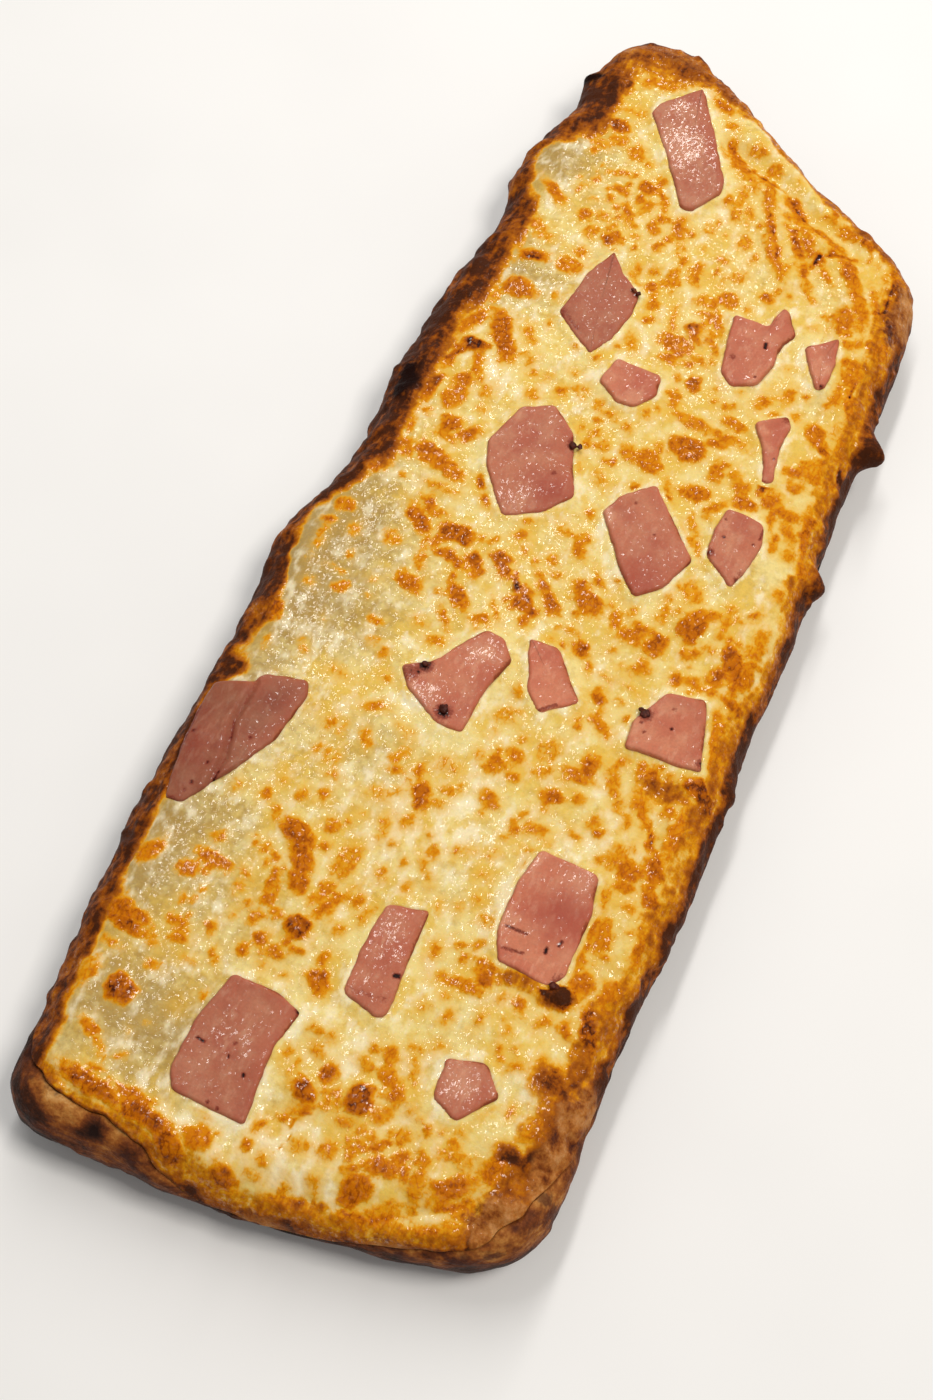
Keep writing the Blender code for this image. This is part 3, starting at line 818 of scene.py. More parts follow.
@dataclass(frozen=True)
class HamFinish:
    """Cooked ham, cut and baked: smooth moist pink meat, a thin browned edge and small dark pits."""

    pink: str = "#CA7C5E"
    rose: str = "#BE6A52"
    flesh: str = "#D69574"
    fibre: str = "#E0A688"
    # Pale pink painted on wet places as their sheen.
    wet: str = "#E0AA88"
    # Dusky red painted as shade on the side of each piece that faces right and far.
    lee_shade: str = "#B05A44"
    rosy: str = "#9C4236"
    brown_edge: str = "#A65A34"
    dark_edge: str = "#743018"
    scorched: str = "#7A2A1E"
    burnt: str = "#260C0A"

    def material(self) -> bpy.types.Material:
        """Build the finish."""
        board = Board("baked_cooked_ham")
        fine = board.swing(0.5, 3.0)
        colour = board.mix(board.soft(board.grain(10.0, 2.0), 0.35, 0.68), srgb(self.pink), srgb(self.rose))
        colour = board.mix(board.soft(board.grain(4.6, 2.0), 0.42, 0.74, 0.0, 0.6), colour, srgb(self.flesh))
        fibre = board.swing(1.6, 3.0, (1.4, 0.6, 1))
        colour = board.mix(board.soft(fibre, 0.0, 0.2, 0.0, 0.35), colour, srgb(self.fibre))
        colour = board.scale_colour(colour, board.soft(fine, -0.2, 0.2, 0.94, 1.05))
        colour = board.scale_colour(colour, board.value("tone"))
        # Painted sheen: wet places and the fibres are lightened towards a pale pink, as if they shone.
        pale = board.stirred(board.value("wet"), (fibre, 1.2))
        colour = board.mix(board.soft(pale, 0.1, 1.1, 0.0, 0.35), colour, srgb(self.wet))
        # Painted shade: within 5 mm of the edge, the side facing right and far is darkened towards a dusky
        # red.
        shaded = board.soft(board.value("lee"), 0.3, 1.0)
        lee_shade = board.sum("MULTIPLY", shaded, board.soft(board.value("from_edge"), 5.0, 0.5))
        colour = board.mix(board.sum("MULTIPLY", lee_shade, 0.35), colour, srgb(self.lee_shade))
        colour = board.mix(board.sum("MULTIPLY", board.value("rosy"), 0.7), colour, srgb(self.rosy))
        spread = board.soft(board.grain(6.0, 1.0), 0.42, 0.60, 1.2, 0.0)
        spread = board.stirred(board.sum("ADD", spread, 0.7), (board.value("lee"), -0.9))
        ridge = board.sum("ADD", board.stirred(board.value("from_edge"), (fine, 1.1)), spread)
        colour = board.mix(board.soft(ridge, 1.3, 0.2, 0.0, 0.5), colour, srgb(self.brown_edge))
        colour = board.mix(board.soft(ridge, 0.4, 0.05, 0.0, 0.65), colour, srgb(self.dark_edge))
        mark = board.stirred(board.value("char"), (fine, 0.9))
        colour = board.mix(board.soft(mark, 0.15, 0.5, 0.0, 0.75), colour, srgb(self.scorched))
        colour = board.mix(board.soft(mark, 0.5, 0.85), colour, srgb(self.burnt))
        low = board.bump(board.grain(3.0, 3.0), 0.24)
        relief = board.bump(board.sum("MULTIPLY", board.value("char"), -1.0), 0.15, low)
        wrinkles = board.bump(board.grain(1.4, 2.0, (1.3, 0.8, 1)), 0.16, relief)
        wet = board.stirred(board.grain(0.8, 2.0), (board.value("wet"), 0.2))
        coat = board.soft(wet, 0.6, 0.67)
        return board.finish(Base_Color=colour, Roughness=0.45, Normal=relief, IOR=1.42,
                            Specular_IOR_Level=0.12, Subsurface_Weight=0.25,
                            Subsurface_Radius=(1.0, 0.35, 0.25), Subsurface_Scale=0.0015,
                            Coat_Weight=coat, Coat_Roughness=0.12, Coat_Normal=wrinkles)


@dataclass(frozen=True)
class CrumbFinish:
    """Cheese and ham drippings burnt crisp: near black, knobbly and a little shiny."""

    baked: Stops = ((0.0, "#D08A38"), (0.35, "#9A5A20"), (0.7, "#5E2412"), (1.0, "#3E160E"))

    def material(self) -> bpy.types.Material:
        """Build the finish."""
        board = Board("burnt_crisp_bits")
        fine = board.grain(0.6, 3.0)
        bake = board.stirred(board.value("bake"), (board.sum("SUBTRACT", fine, 0.5), 1.2))
        colour = board.colours(bake, self.baked)
        relief = board.bump(fine, 0.2)
        return board.finish(Base_Color=colour, Roughness=0.45, Normal=relief, Specular_IOR_Level=0.2)


@dataclass
class Topping:
    """Where the ham lies, and the thin dip and rim that it makes in the cheese."""

    shapes: list[HamShape]
    above: float = 1.2
    below: float = 1.2
    rim_height: float = 0.55
    rim_width: float = 1.6

    def distance(self, real: Points) -> Values:
        """Distance to the nearest piece of ham, below zero under it, up to CLEAR_OF_HAM."""
        result = np.full(len(real), CLEAR_OF_HAM)
        for shape in self.shapes:
            low, high = shape.loop.min(axis=0) - CLEAR_OF_HAM, shape.loop.max(axis=0) + CLEAR_OF_HAM
            near = np.nonzero(np.all((real > low) & (real < high), axis=1))[0]
            if len(near):
                result[near] = np.minimum(result[near], signed_distance(real[near], shape.loop))
        return result

    def press(self, distance: Values) -> Values:
        """How the cheese sinks under a piece and swells round it."""
        sunk = ramp(distance, -0.1, -1.6) * -(self.below + 0.9)
        rim = self.rim_height * np.exp(-((np.maximum(distance, 0.0) / self.rim_width) ** 2))
        return sunk + rim * ramp(distance, -1.0, 0.0)


@dataclass
class EdgeBake:
    """How dark the oven made each side: tables of (place along the side, bake, width in mm).

    `rims` is the thin darkest line of the left, right, near and far sides, as (bake, width).
    """

    left: Table
    right: Table
    near: Table
    far: Table
    rims: tuple = ((0.95, 3.2), (1.0, 4.2), (0.84, 3.0), (0.92, 5.5))

    def crust(self, real: Points, outline: Outline) -> Values:
        """Browning of the cheese towards the sides, 0 to about 1."""
        plain = outline.unbend(real)
        edges = [(self.left, real[:, 1], plain[:, 0] + outline.half_width),
                 (self.right, real[:, 1], outline.half_width - plain[:, 0]),
                 (self.near, real[:, 0], plain[:, 1] + outline.half_length),
                 (self.far, real[:, 0], outline.half_length - plain[:, 1])]
        total = np.zeros(len(real))
        level = on_level(real)
        ragged = 1.8 * noise(level, 7.0, 91) + 1.2 * noise(level, 3.2, 92)
        for (table, place, inside), (rim, reach) in zip(edges, self.rims):
            bake = along([(row[0], row[1]) for row in table], place)
            width = along([(row[0], row[2]) for row in table], place)
            fall = ramp(inside + ragged, width * 1.2, width * 0.66)
            total = np.maximum(total, bake * fall)
            total = np.maximum(total, rim * ramp(inside + 0.4 * ragged, reach, 0.2 * reach))
        return total * (1.0 + 0.16 * noise(level, 8.0, 93) + 0.10 * noise(level, 3.6, 94))


class Piece(Enum):
    """The frame's nodes that this script replaces with finer pieces."""

    BREAD = "bread"
    CHEESE = "cheese"


@dataclass
class Flatbread:
    """The bread and its cheese, on one shared rim.

    Soft patches (milky cheese and painted shade, yolk, oily, charred, toasted, bare dough, curds
    and painted sheen) are (x, y, reach across, reach along, strength), and swellings are the same
    with a height in millimetres. A place of bare crust is (x, y, share, radius), a knob is (x, y,
    how far out, radius), and a crease is (points along it, width, strength).
    """

    form: TopForm
    browning: Browning
    topping: Topping
    bake: EdgeBake
    spacing: float = 0.66
    reach: float = 1.0
    shoulder_run: float = 14.5
    wall_run: float = 13.0
    bare_crust: Table = field(default_factory=lambda: [
        (-42, -146, 0.85, 14.0), (-22, -150, 0.6, 12.0), (50, -132, 0.7, 16.0),
        (46, 104, 0.35, 12.0), (30, -146, 0.3, 12.0)])
    knobs: Table = field(default_factory=lambda: [
        (51.5, 51.5, 6.0, 3.4), (52.5, 14.5, 3.6, 3.0), (53.5, -38, 1.2, 3.0), (52.5, -74, 1.4, 3.0),
        (-44, 127, 2.6, 4.5), (-34, 148, 1.4, 5.0), (-20, 145, 1.2, 4.0), (-50, 30, 1.2, 6.0),
        (-49, -148, 1.5, 5.0), (50, -137, 1.4, 4.0)])
    # Milky patches, most of them on the left, where they also serve as painted shade.
    milky_and_shade: Table = field(default_factory=lambda: [
        (-37, 98, 14, 16, 0.8), (-33, 60, 12, 14, 0.6), (-38, -25, 18, 24, 0.9), (-38, -62, 12, 20, 0.6),
        (-36, -96, 18, 18, 0.8), (-14, -60, 14, 12, 0.35), (-28, -125, 16, 14, 1.0),
        (-22, -100, 10, 14, 0.5), (38, 55, 6, 6, 0.5), (40, 8, 8, 8, 0.3)])
    yolk: Table = field(default_factory=lambda: [
        (-27, -57, 4, 3, 0.8), (-27, -72, 3, 4, 0.8), (-29, 116, 6, 6, 0.6), (-24, -121, 3, 3, 0.9),
        (-6, -72, 7, 4, 0.5), (29, -76, 10, 5, 0.4), (-18, 30, 5, 10, 0.4), (-9, 2, 10, 5, 0.4),
        (-22, -48, 4, 6, 0.4), (39, -80, 4, 10, 0.5), (20, 45, 18, 40, 0.25)])
    oily: Table = field(default_factory=lambda: [
        (-38, -34, 10, 26, 0.7), (12, -124, 8, 6, 0.8), (-34, -122, 5, 5, 0.9), (-34, 57, 6, 5, 0.8),
        (9, 60, 8, 8, 0.7), (0, -13, 12, 8, 0.7), (-35, -95, 10, 12, 0.8), (-25, -140, 14, 5, 0.7),
        (40, -113, 5, 6, 1.0), (20, -133, 8, 4, 0.8), (21, -78, 2.6, 12, 1.3), (-10, -48, 5, 2.6, 1.3),
        (-36, -13, 5, 7, 1.0), (-46, -17, 2, 7, 0.8), (11, -69, 4, 5, 0.7), (13, -123, 3, 4, 0.9),
        (34, -131, 4, 2, 0.9), (7, 6, 2, 4, 1.0), (6, 84, 3, 5, 0.8), (9, 60, 3, 3, 0.9)])
    swellings: Table = field(default_factory=lambda: [
        (37.4, -91.8, 3.6, 2.4, 1.1), (13, -123.2, 2.8, 3.2, 0.7), (-34.8, -122.6, 3.2, 2.8, 0.7),
        (-33, 66.5, 3.2, 2.2, 0.6), (-11, -98.6, 2.8, 2.4, 0.5), (-18.5, -82.5, 3.8, 2.8, 0.5),
        (-15.5, -88, 2.6, 4.2, 0.45), (44, -116, 4.2, 6.0, 0.7), (-30.5, 43.5, 3.5, 5.5, 0.45),
        (-32, 57, 3.8, 3.0, 0.45), (17, 31, 4.0, 3.4, 0.35), (33.5, -9.6, 3.4, 3.8, 0.35),
        (-35, 38, 3.0, 2.2, 0.5), (45.5, -95.5, 2.4, 4.6, 0.5), (3, -126, 2.8, 2.2, 0.45),
        (27.5, 97, 4.2, 2.6, 0.6), (8, 61, 3.0, 3.4, 0.5), (-31, 17, 2.6, 2.4, 0.4)])
    charred: Table = field(default_factory=lambda: [
        (-45, 24, 4, 9, 0.9), (-43, 128, 4, 5, 0.8), (-3, -14.5, 1.2, 2.0, 0.9), (-47, 68, 3, 5, 0.5),
        (-47, 38, 3, 6, 0.5), (-41, 127, 3, 3, 0.8)])
    toasted: Table = field(default_factory=lambda: [
        (-36, 122, 5, 10, 0.86), (-36, 110, 5, 5.5, 0.84), (-27, 134, 14, 6.5, 0.6), (-31, 133, 4, 3, 0.72),
        (42.5, -107.5, 4.5, 3.6, 0.82), (46.5, -114, 2.6, 6, 0.72), (42, -122, 4, 1.8, 0.86),
        (44, -117, 4, 5, 0.5), (45, -131, 4.5, 4, 0.8), (48, -123, 3, 8, 0.75), (45, -138, 6, 4, 0.72),
        (46, 88, 4, 14, 0.6), (41, -45, 6, 2.6, 0.62), (37.5, -92, 3.6, 2.4, 0.9), (30, -92, 6, 1.6, 0.5)])
    bare_dough: Table = field(default_factory=lambda: [
        (49, -117, 4, 14, 1.0), (45.5, -134, 7, 7, 1.0), (36, -144.5, 12, 3.2, 0.9), (-41, -146, 5, 5, 0.7),
        (-26, -149.5, 14, 3, 0.9), (48, 86, 3, 11, 0.9), (-37, 135, 4, 5, 0.5), (-24, 138, 8, 3, 0.5),
        (10, -149, 14, 2.2, 0.6)])
    creases: list = field(default_factory=lambda: [
        ([(-3, 116), (6, 110.5), (13, 108), (19, 103), (24, 99)], 0.6, 0.6),
        ([(46, -108), (47.3, -115), (44.5, -121), (40.5, -123)], 0.8, 0.6),
        ([(6, -144.5), (16, -142.5), (25, -140.5), (33, -136), (40, -130)], 0.7, 0.45),
        ([(39.5, -135), (40.5, -139)], 0.6, 0.6), ([(11, 101), (15, 93), (17.5, 88)], 0.7, 0.5),
        ([(48.6, 41.5), (49, 38.5)], 0.6, 1.0), ([(43.5, 92), (44.5, 84), (42, 82)], 0.5, 0.8),
        ([(31, 95), (26, 93.5), (25, 89)], 0.6, 0.8), ([(4, -131), (4.5, -135), (3, -138)], 0.4, 0.7),
        ([(-34, -146), (-26, -147.5), (-18, -147)], 0.5, 0.8), ([(33, 78), (34, 70)], 0.4, 0.6),
        ([(44.2, 62), (44.6, 58)], 0.5, 0.8), ([(41, -52), (42.5, -57)], 0.5, 0.8)])
    # Curd-white patches; the ones at wet places are painted sheen.
    curds_and_sheen: Table = field(default_factory=lambda: [
        (21.2, -78, 1.8, 12, 1.0), (8, 6.5, 1.6, 4, 0.8), (-10, -47.6, 5, 2.2, 0.9),
        (44, 48.5, 1.9, 1.5, 1.0), (40, -112, 3.6, 4.5, 0.7), (8, -119, 3, 2, 0.9), (-28, 38, 5, 8, 0.6),
        (1.5, 96, 3, 6, 0.4), (28, -62, 10, 8, 0.35), (10, -100, 14, 14, 0.3), (-20, 60, 3, 10, 0.5),
        (46, 62, 2, 1.6, 0.5), (2, -72, 10, 16, 0.6), (2, -139, 18, 6, 0.8)])

    def __post_init__(self) -> None:
        """Lay the rim out once for both pieces."""
        self.rim = Rim(self.form, self.spacing)
        self.outline = self.form.outline
        real = self.rim.plan(self.outline.corner_radius)
        line = on_level(real)
        reach = self.reach + 0.10 * noise(line, 24.0, 11) + 0.05 * noise(line, 11.0, 12)
        reach += 0.03 * noise(line, 3.0, 13)
        for x, y, share, radius in self.bare_crust:
            reach -= share * np.exp(-np.sum((real - (x, y)) ** 2, axis=1) / radius ** 2)
        self.cheese_edge = np.clip(reach, 0.2, 1.12)

    def crease_lines(self, real: Points) -> Values:
        """Thin folds, browned darker in part as painted shade: 1 in the middle of a line, 0 away from it."""
        level = on_level(real)
        shift = 0.5 * np.column_stack([noise(level, 3.0, 37), noise(level, 3.0, 38)])
        total = np.zeros(len(real))
        for path, width, strength in self.creases:
            gap = distance_to_path(real + shift, path) / width
            total = np.maximum(total, strength * np.exp(-gap ** 2))
        return total

    def cheese_values(self, real: Points, distance: Values) -> dict[str, Values]:
        """The finish values of the cheese at places on the bread.

        Args:
            real: the plan points.
            distance: distance to the nearest piece of ham.

        Returns:
            Named values, one array each.
        """
        depth, bake = self.browning.blisters(real)
        level = on_level(real)
        shift = 0.9 * np.column_stack([noise(level, 4.0, 35), noise(level, 4.0, 36)])
        toasted = patches(real + shift, self.toasted, 1.6)
        crust = np.maximum(self.bake.crust(real, self.outline), toasted)
        depth = depth - 2.5 * ramp(distance, 1.2, 0.1)
        pale = patches(real, self.milky_and_shade) + 0.25 * layered(level, 12.0, 31)
        # Painted shade: the milky colour grows towards the left side, darkening it.
        pale += 0.4 * ramp(real[:, 0], -30.0, -46.0)
        faint = np.clip(pale, 0.0, 0.8)
        depth, bake = depth - 0.25 * faint, bake * (1.0 - 0.1 * faint)
        # Painted sheen: a faint ring of curd-white round each piece of ham.
        curd_and_sheen = np.maximum(patches(real, self.curds_and_sheen), 0.25 * np.exp(-(distance / 2.0) ** 2))
        return {"spot_depth": depth, "spot_bake": bake, "crust": crust, "pale": pale, "curd_and_sheen": curd_and_sheen,
                "yolk": patches(real, self.yolk), "oil": patches(real, self.oily),
                "crease": self.crease_lines(real),
                "dough": patches(real + shift, self.bare_dough, 1.6),
                "char": patches(real, self.charred) * (0.8 + 0.4 * noise(level, 3.0, 33))}

    def cheese_relief(self, place: Points, values: dict[str, Values], distance: Values) -> Values:
        """How far the cheese stands out of its plain form.

        Args:
            place: points on the plain form, in millimetres.
            values: the cheese's finish values there.
            distance: distance to the nearest piece of ham.

        Returns:
            The height along the surface's normal.
        """
        blister = ramp(values["spot_depth"], -0.9, 0.9) * (0.08 + 0.16 * values["spot_bake"])
        crisp = ramp(values["crust"], 0.1, 0.6)
        soft = 0.28 * noise(place, 6.0, 23) + 0.10 * noise(place, 2.8, 24)
        crag = 0.45 * noise(place, 5.0, 25) + 0.42 * noise(place, 2.6, 26) + 0.3 * noise(place, 1.5, 27)
        quiet = ramp(distance, 0.0, 2.5)
        raised = np.zeros(len(place))
        for x, y, across, long, high in self.swellings:
            reach = ((place[:, 0] - x) / across) ** 2 + ((place[:, 1] - y) / long) ** 2
            raised += high * np.exp(-reach ** 1.5)
        return (soft + blister + raised - 0.45 * values["crease"]) * quiet + crag * crisp * quiet

    def knob_height(self, real: Points, height: Values) -> Values:
        """Crisp knobs that stand out of the side."""
        total = np.zeros(len(real))
        for x, y, far, radius in self.knobs:
            near = np.sum((real - (x, y)) ** 2, axis=1) / radius ** 2
            total += far * np.exp(-near - ((height - 13.0) / 3.5) ** 2)
        return total

    def side_points(self, travel: Values | float, depth: Values | float,
                    relief: Values | float) -> tuple[Points, Points]:
        """Finished points of one ring of the side.

        Args:
            travel: how far over the side.
            depth: how far under the surface.
            relief: how far out of it.

        Returns:
            The points in millimetres, and the plan points before relief.
        """
        ring = self.rim.ring(travel)
        real = self.rim.plan(ring["radius"])
        swell = self.form.height(real) - self.form.shoulder_height(real)
        fade = np.clip(ring["upward"], 0.0, 1.0)
        fade = fade * ramp(np.broadcast_to(travel, self.rim.count), 1.15, 0.85)
        out = relief - depth + self.knob_height(real, ring["height"])
        points = self.rim.plan(ring["radius"] + out * ring["across"])
        return np.column_stack([points, ring["height"] + swell * fade + out * ring["upward"]]), real

    def plain_place(self, travel: Values | float) -> tuple[Points, Points]:
        """Points of one ring before relief, and their plan."""
        ring = self.rim.ring(travel)
        real = self.rim.plan(ring["radius"])
        return np.column_stack([real, ring["height"]]), real

    def cheese(self, material: bpy.types.Material) -> bpy.types.Object:
        """Build the melted cheese: a fine grid in the middle and rings over the shoulder."""
        maker = MeshMaker("melted_cheese")
        rim = self.rim
        xs = np.linspace(-1, 1, rim.across + 1) * rim.half[0]
        ys = np.linspace(-1, 1, rim.long + 1) * rim.half[1]
        plain = np.stack(np.meshgrid(xs, ys), axis=-1).reshape(-1, 2)
        first = self.add_top(maker, self.outline.bend(plain))
        maker.grid(first, rim.across, rim.long)
        before = self.add_top(maker, rim.plan(0.0))
        flat = rim.outline.corner_radius - self.form.shoulder
        for radius in np.linspace(0.0, flat, round(flat / self.spacing) + 1)[1:]:
            after = self.add_top(maker, rim.plan(radius))
            maker.bridge(before, after, rim.count)
            before = after
        steps = round(self.shoulder_run / self.spacing)
        for step in range(1, steps + 1):
            share = step / steps
            after = self.add_side(maker, self.cheese_edge * share, share)
            maker.bridge(before, after, rim.count)
            before = after
        for depth, back in ((0.35, -0.012), (0.9, 0.0), (1.4, 0.06)):
            points, real = self.side_points(self.cheese_edge - back, depth, 0.0)
            values = self.cheese_values(real, np.full(len(real), CLEAR_OF_HAM))
            values["crust"] = np.maximum(values["crust"], 0.82)
            after = maker.add_points(points, **values)
            maker.bridge(before, after, rim.count)
            before = after
        return maker.build(material)

    def add_top(self, maker: MeshMaker, real: Points) -> int:
        """Add finished points of the flat top, and return the first one's index."""
        distance = self.topping.distance(real)
        values = self.cheese_values(real, distance)
        height = self.form.height(real)
        relief = self.cheese_relief(np.column_stack([real, height]), values, distance)
        height = height + relief + self.topping.press(distance)
        return maker.add_points(np.column_stack([real, height]), **values)

    def add_side(self, maker: MeshMaker, travel: Values, share: float) -> int:
        """Add finished points of one ring over the shoulder, and return the first one's index."""
        place, real = self.plain_place(travel)
        distance = self.topping.distance(real)
        values = self.cheese_values(real, distance)
        values["crust"] = np.maximum(values["crust"], 0.8 * ramp(share, 0.72, 1.0))
        relief = self.cheese_relief(place, values, distance)
        relief = relief * ramp(1.0 - share, -0.06, 0.1) + self.topping.press(distance)
        return maker.add_points(self.side_points(travel, 0.0, relief)[0], **values)

    def bread(self, material: bpy.types.Material) -> bpy.types.Object:
        """Build the crust that shows below the cheese, with its flat underside."""
        maker = MeshMaker("baked_bread")
        rim = self.rim
        rings = []
        for back, depth in ((0.30, 2.2), (0.12, 1.9), (-0.01, 1.3)):
            points = self.side_points(np.maximum(self.cheese_edge - back, 0.02), depth, 0.0)[0]
            rings.append(maker.add_points(points, crust=self.wall_bake_and_shade(points)))
        start = self.cheese_edge + 0.03
        steps = round(self.wall_run / self.spacing)
        for step in range(steps + 1):
            share = step / steps
            travel = start + (2.0 - start) * share
            place = self.plain_place(travel)[0]
            lumps = 0.55 * noise(place * (1, 1, 1.7), 7.0, 21) + 0.35 * noise(place * (1, 1, 1.9), 3.0, 22)
            lumps += 0.15 * noise(place, 1.5, 28)
            relief = (0.85 * lumps + 0.1) * ramp(share, 1.0, 0.8) - 0.55 * ramp(share, 0.12, 0.0)
            points = self.side_points(travel, 0.0, relief)[0]
            rings.append(maker.add_points(points, crust=self.wall_bake_and_shade(points)))
        for inner, outer in zip(rings[:-1], rings[1:]):
            maker.bridge(inner, outer, rim.count)
        maker.faces.append(tuple(range(rings[0], rings[0] + rim.count)))
        maker.faces.append(tuple(range(rings[-1], rings[-1] + rim.count)))
        return maker.build(material)

    def wall_bake_and_shade(self, place: Points) -> Values:
        """How dark the crust's wall is: golden under the cheese, darker down, to the left and at the near
        end, partly baked colour and partly painted shade.
        """
        # Painted shade, along with browning: the wall is darkened to the left, towards the bottom and at the
        # near end.
        left = ramp(place[:, 0], -25.0, -50.0)
        right = ramp(place[:, 0], 25.0, 52.0) * ramp(place[:, 1], -140.0, -90.0)
        down = ramp(place[:, 2], 15.5, 7.0)
        near = ramp(place[:, 1], -120.0, -146.0)
        pale = near * ramp(place[:, 0], 10.0, -20.0) * ramp(place[:, 0], -49.0, -38.0)
        pale = pale * ramp(place[:, 2], 15.0, 18.0)
        # Painted shade: a near-black spot where a hole in the near wall lies in shade.
        hole_shade = near * np.exp(-((place[:, 0] + 28) / 2.2) ** 2 - ((place[:, 2] - 16.0) / 1.2) ** 2)
        return 0.36 + 0.26 * left + 0.12 * right + 0.32 * down + 0.1 * near - 0.4 * pale + 0.9 * hole_shade


@dataclass
class HamPiece:
    """One piece of ham lying in the cheese."""

    name: str
    shape: HamShape
    form: TopForm
    topping: Topping
    seed: int
    scorch: Table = field(default_factory=list)
    groove: list = field(default_factory=list)
    tone: float = 0.95
    round_edge: float = 0.7

    def ring_points(self, loop: Points, lift: Values | float) -> Points:
        """Outline points lying a distance above the cheese's plain form."""
        return np.column_stack([loop, self.form.height(loop) + lift])

    def top_lift(self, loop: Points) -> Values:
        """How the top waves and curls."""
        inside = -signed_distance(loop, self.shape.loop)
        level = on_level(loop) + (0, 0, self.seed * 7.0)
        wave = 0.28 * noise(level, 9.0, self.seed) + 0.10 * noise(level, 3.2, self.seed + 1)
        curl = 0.45 * ramp(inside, 3.5, 0.5) * noise(level, 14.0, self.seed + 2)
        edge = np.clip(1.0 - inside / self.round_edge, 0.0, 1.0)
        rounded = self.round_edge * (1.0 - np.sqrt(1.0 - edge ** 2))
        lift = self.topping.above + wave + curl - rounded
        if self.groove:
            gap = distance_to_path(loop, self.groove)
            lift = lift - 0.7 * np.exp(-((gap / 0.8) ** 2)) + 0.5 * ramp(gap, 3.5, 0.9)
        return lift

    def values(self, loop: Points, inside: Values | float) -> dict[str, Values]:
        """The finish values: distance from the edge, which way it faces (for the painted shade), marks,
        redness and wetness (for the coat and painted sheen).
        """
        char = self.spots(loop, self.scorch)
        for x0, y0, x1, y1, width, strength in HAM_MARKS:
            gap = distance_to_path(loop, [(x0, y0), (x1 + 0.001, y1)])
            char = np.maximum(char, strength * np.exp(-((gap / width) ** 2)))
        # Painted shadow: the groove where one layer of ham lies over another is darkened.
        if self.groove:
            char = np.maximum(char, 0.3 * np.exp(-((distance_to_path(loop, self.groove) / 0.4) ** 2)))
        away = loop - self.shape.middle
        away /= np.maximum(np.linalg.norm(away, axis=1), 0.1)[:, None]
        lee = ramp(away @ (0.75, 0.66), -0.4, 0.8)
        return {"from_edge": np.broadcast_to(inside, len(loop)), "char": char, "lee": lee,
                "rosy": self.spots(loop, ROSY), "wet": self.spots(loop, WET_SHEEN),
                "tone": np.full(len(loop), self.tone)}

    def spots(self, loop: Points, table: Table) -> Values:
        """Round soft spots of (x, y, radius, strength)."""
        total = np.zeros(len(loop))
        for x, y, radius, strength in table:
            reach = np.sum((loop - (x, y)) ** 2, axis=1) / radius ** 2
            total = np.maximum(total, strength * np.exp(-reach))
        return total

    def build(self, material: bpy.types.Material) -> bpy.types.Object:
        """Build the piece: underside, side, rounded edge and waved top."""
        maker = MeshMaker(self.name.replace("ham", "ham_piece"))
        shape = self.shape
        count = len(shape.loop)
        below = -self.topping.below
        inner = shape.grown(-self.round_edge)
        loops = [(shape.middle + (shape.loop - shape.middle) * 0.5, below, 3.0), (shape.loop, below, 0.0)]
        edge_top = self.top_lift(shape.loop)
        for share in (0.35, 0.7, 1.0):
            loops.append((shape.loop, below + (edge_top - below) * share, 0.0))
        for inset in (0.12, 0.3, 0.5, 0.7):
            loop = shape.grown(-inset)
            loops.append((loop, self.top_lift(loop), inset))
        steps = max(8, round(np.linalg.norm(shape.loop - shape.middle, axis=1).mean() / HAM_STEP))
        for step in range(1, steps):
            loop = shape.middle + (inner - shape.middle) * (1.0 - step / steps)
            loops.append((loop, self.top_lift(loop), None))
        rings = []
        for loop, lift, inset in loops:
            inside = -signed_distance(loop, shape.loop) if inset is None else inset
            points = self.ring_points(loop, lift)
            rings.append(maker.add_points(points, **self.values(loop, inside)))
        for first, second in zip(rings[:-1], rings[1:]):
            maker.bridge(first, second, count)
        for ring in (rings[0], rings[-1]):
            maker.faces.append(tuple(range(ring, ring + count)))
        return maker.build(material)


@dataclass
class Crumbs:
    """Small burnt bits stuck to the ham's edges and the sides: (x, y, lift, size, bake)."""

    form: TopForm
    bits: Table
    seed: int = 5

    def build(self, material: bpy.types.Material) -> bpy.types.Object:
        """Build every bit as one joined mesh of lumpy balls."""
        maker = MeshMaker("burnt_bits")
        random = np.random.default_rng(self.seed)
        ball = bmesh.new()
        bmesh.ops.create_icosphere(ball, subdivisions=3, radius=1.0)
        unit = np.array([vert.co[:] for vert in ball.verts])
        faces = [tuple(vert.index for vert in face.verts) for face in ball.faces]
        ball.free()
        for x, y, lift, size, bake in self.bits:
            shift = random.uniform(0, 50, 3)
            lumps = 1.0 + 0.35 * noise(unit + shift, 0.7, 51) + 0.2 * noise(unit + shift, 0.35, 52)
            stretch = size * random.uniform((0.7, 0.7, 0.45), (1.1, 1.1, 0.7))
            height = self.form.height(np.array([[x, y]]))[0] + lift
            points = unit * lumps[:, None] * stretch + (x, y, height)
            first = maker.add_points(points, bake=np.full(len(points), bake))
            maker.faces.extend(tuple(first + index for index in face) for face in faces)
        return maker.build(material)


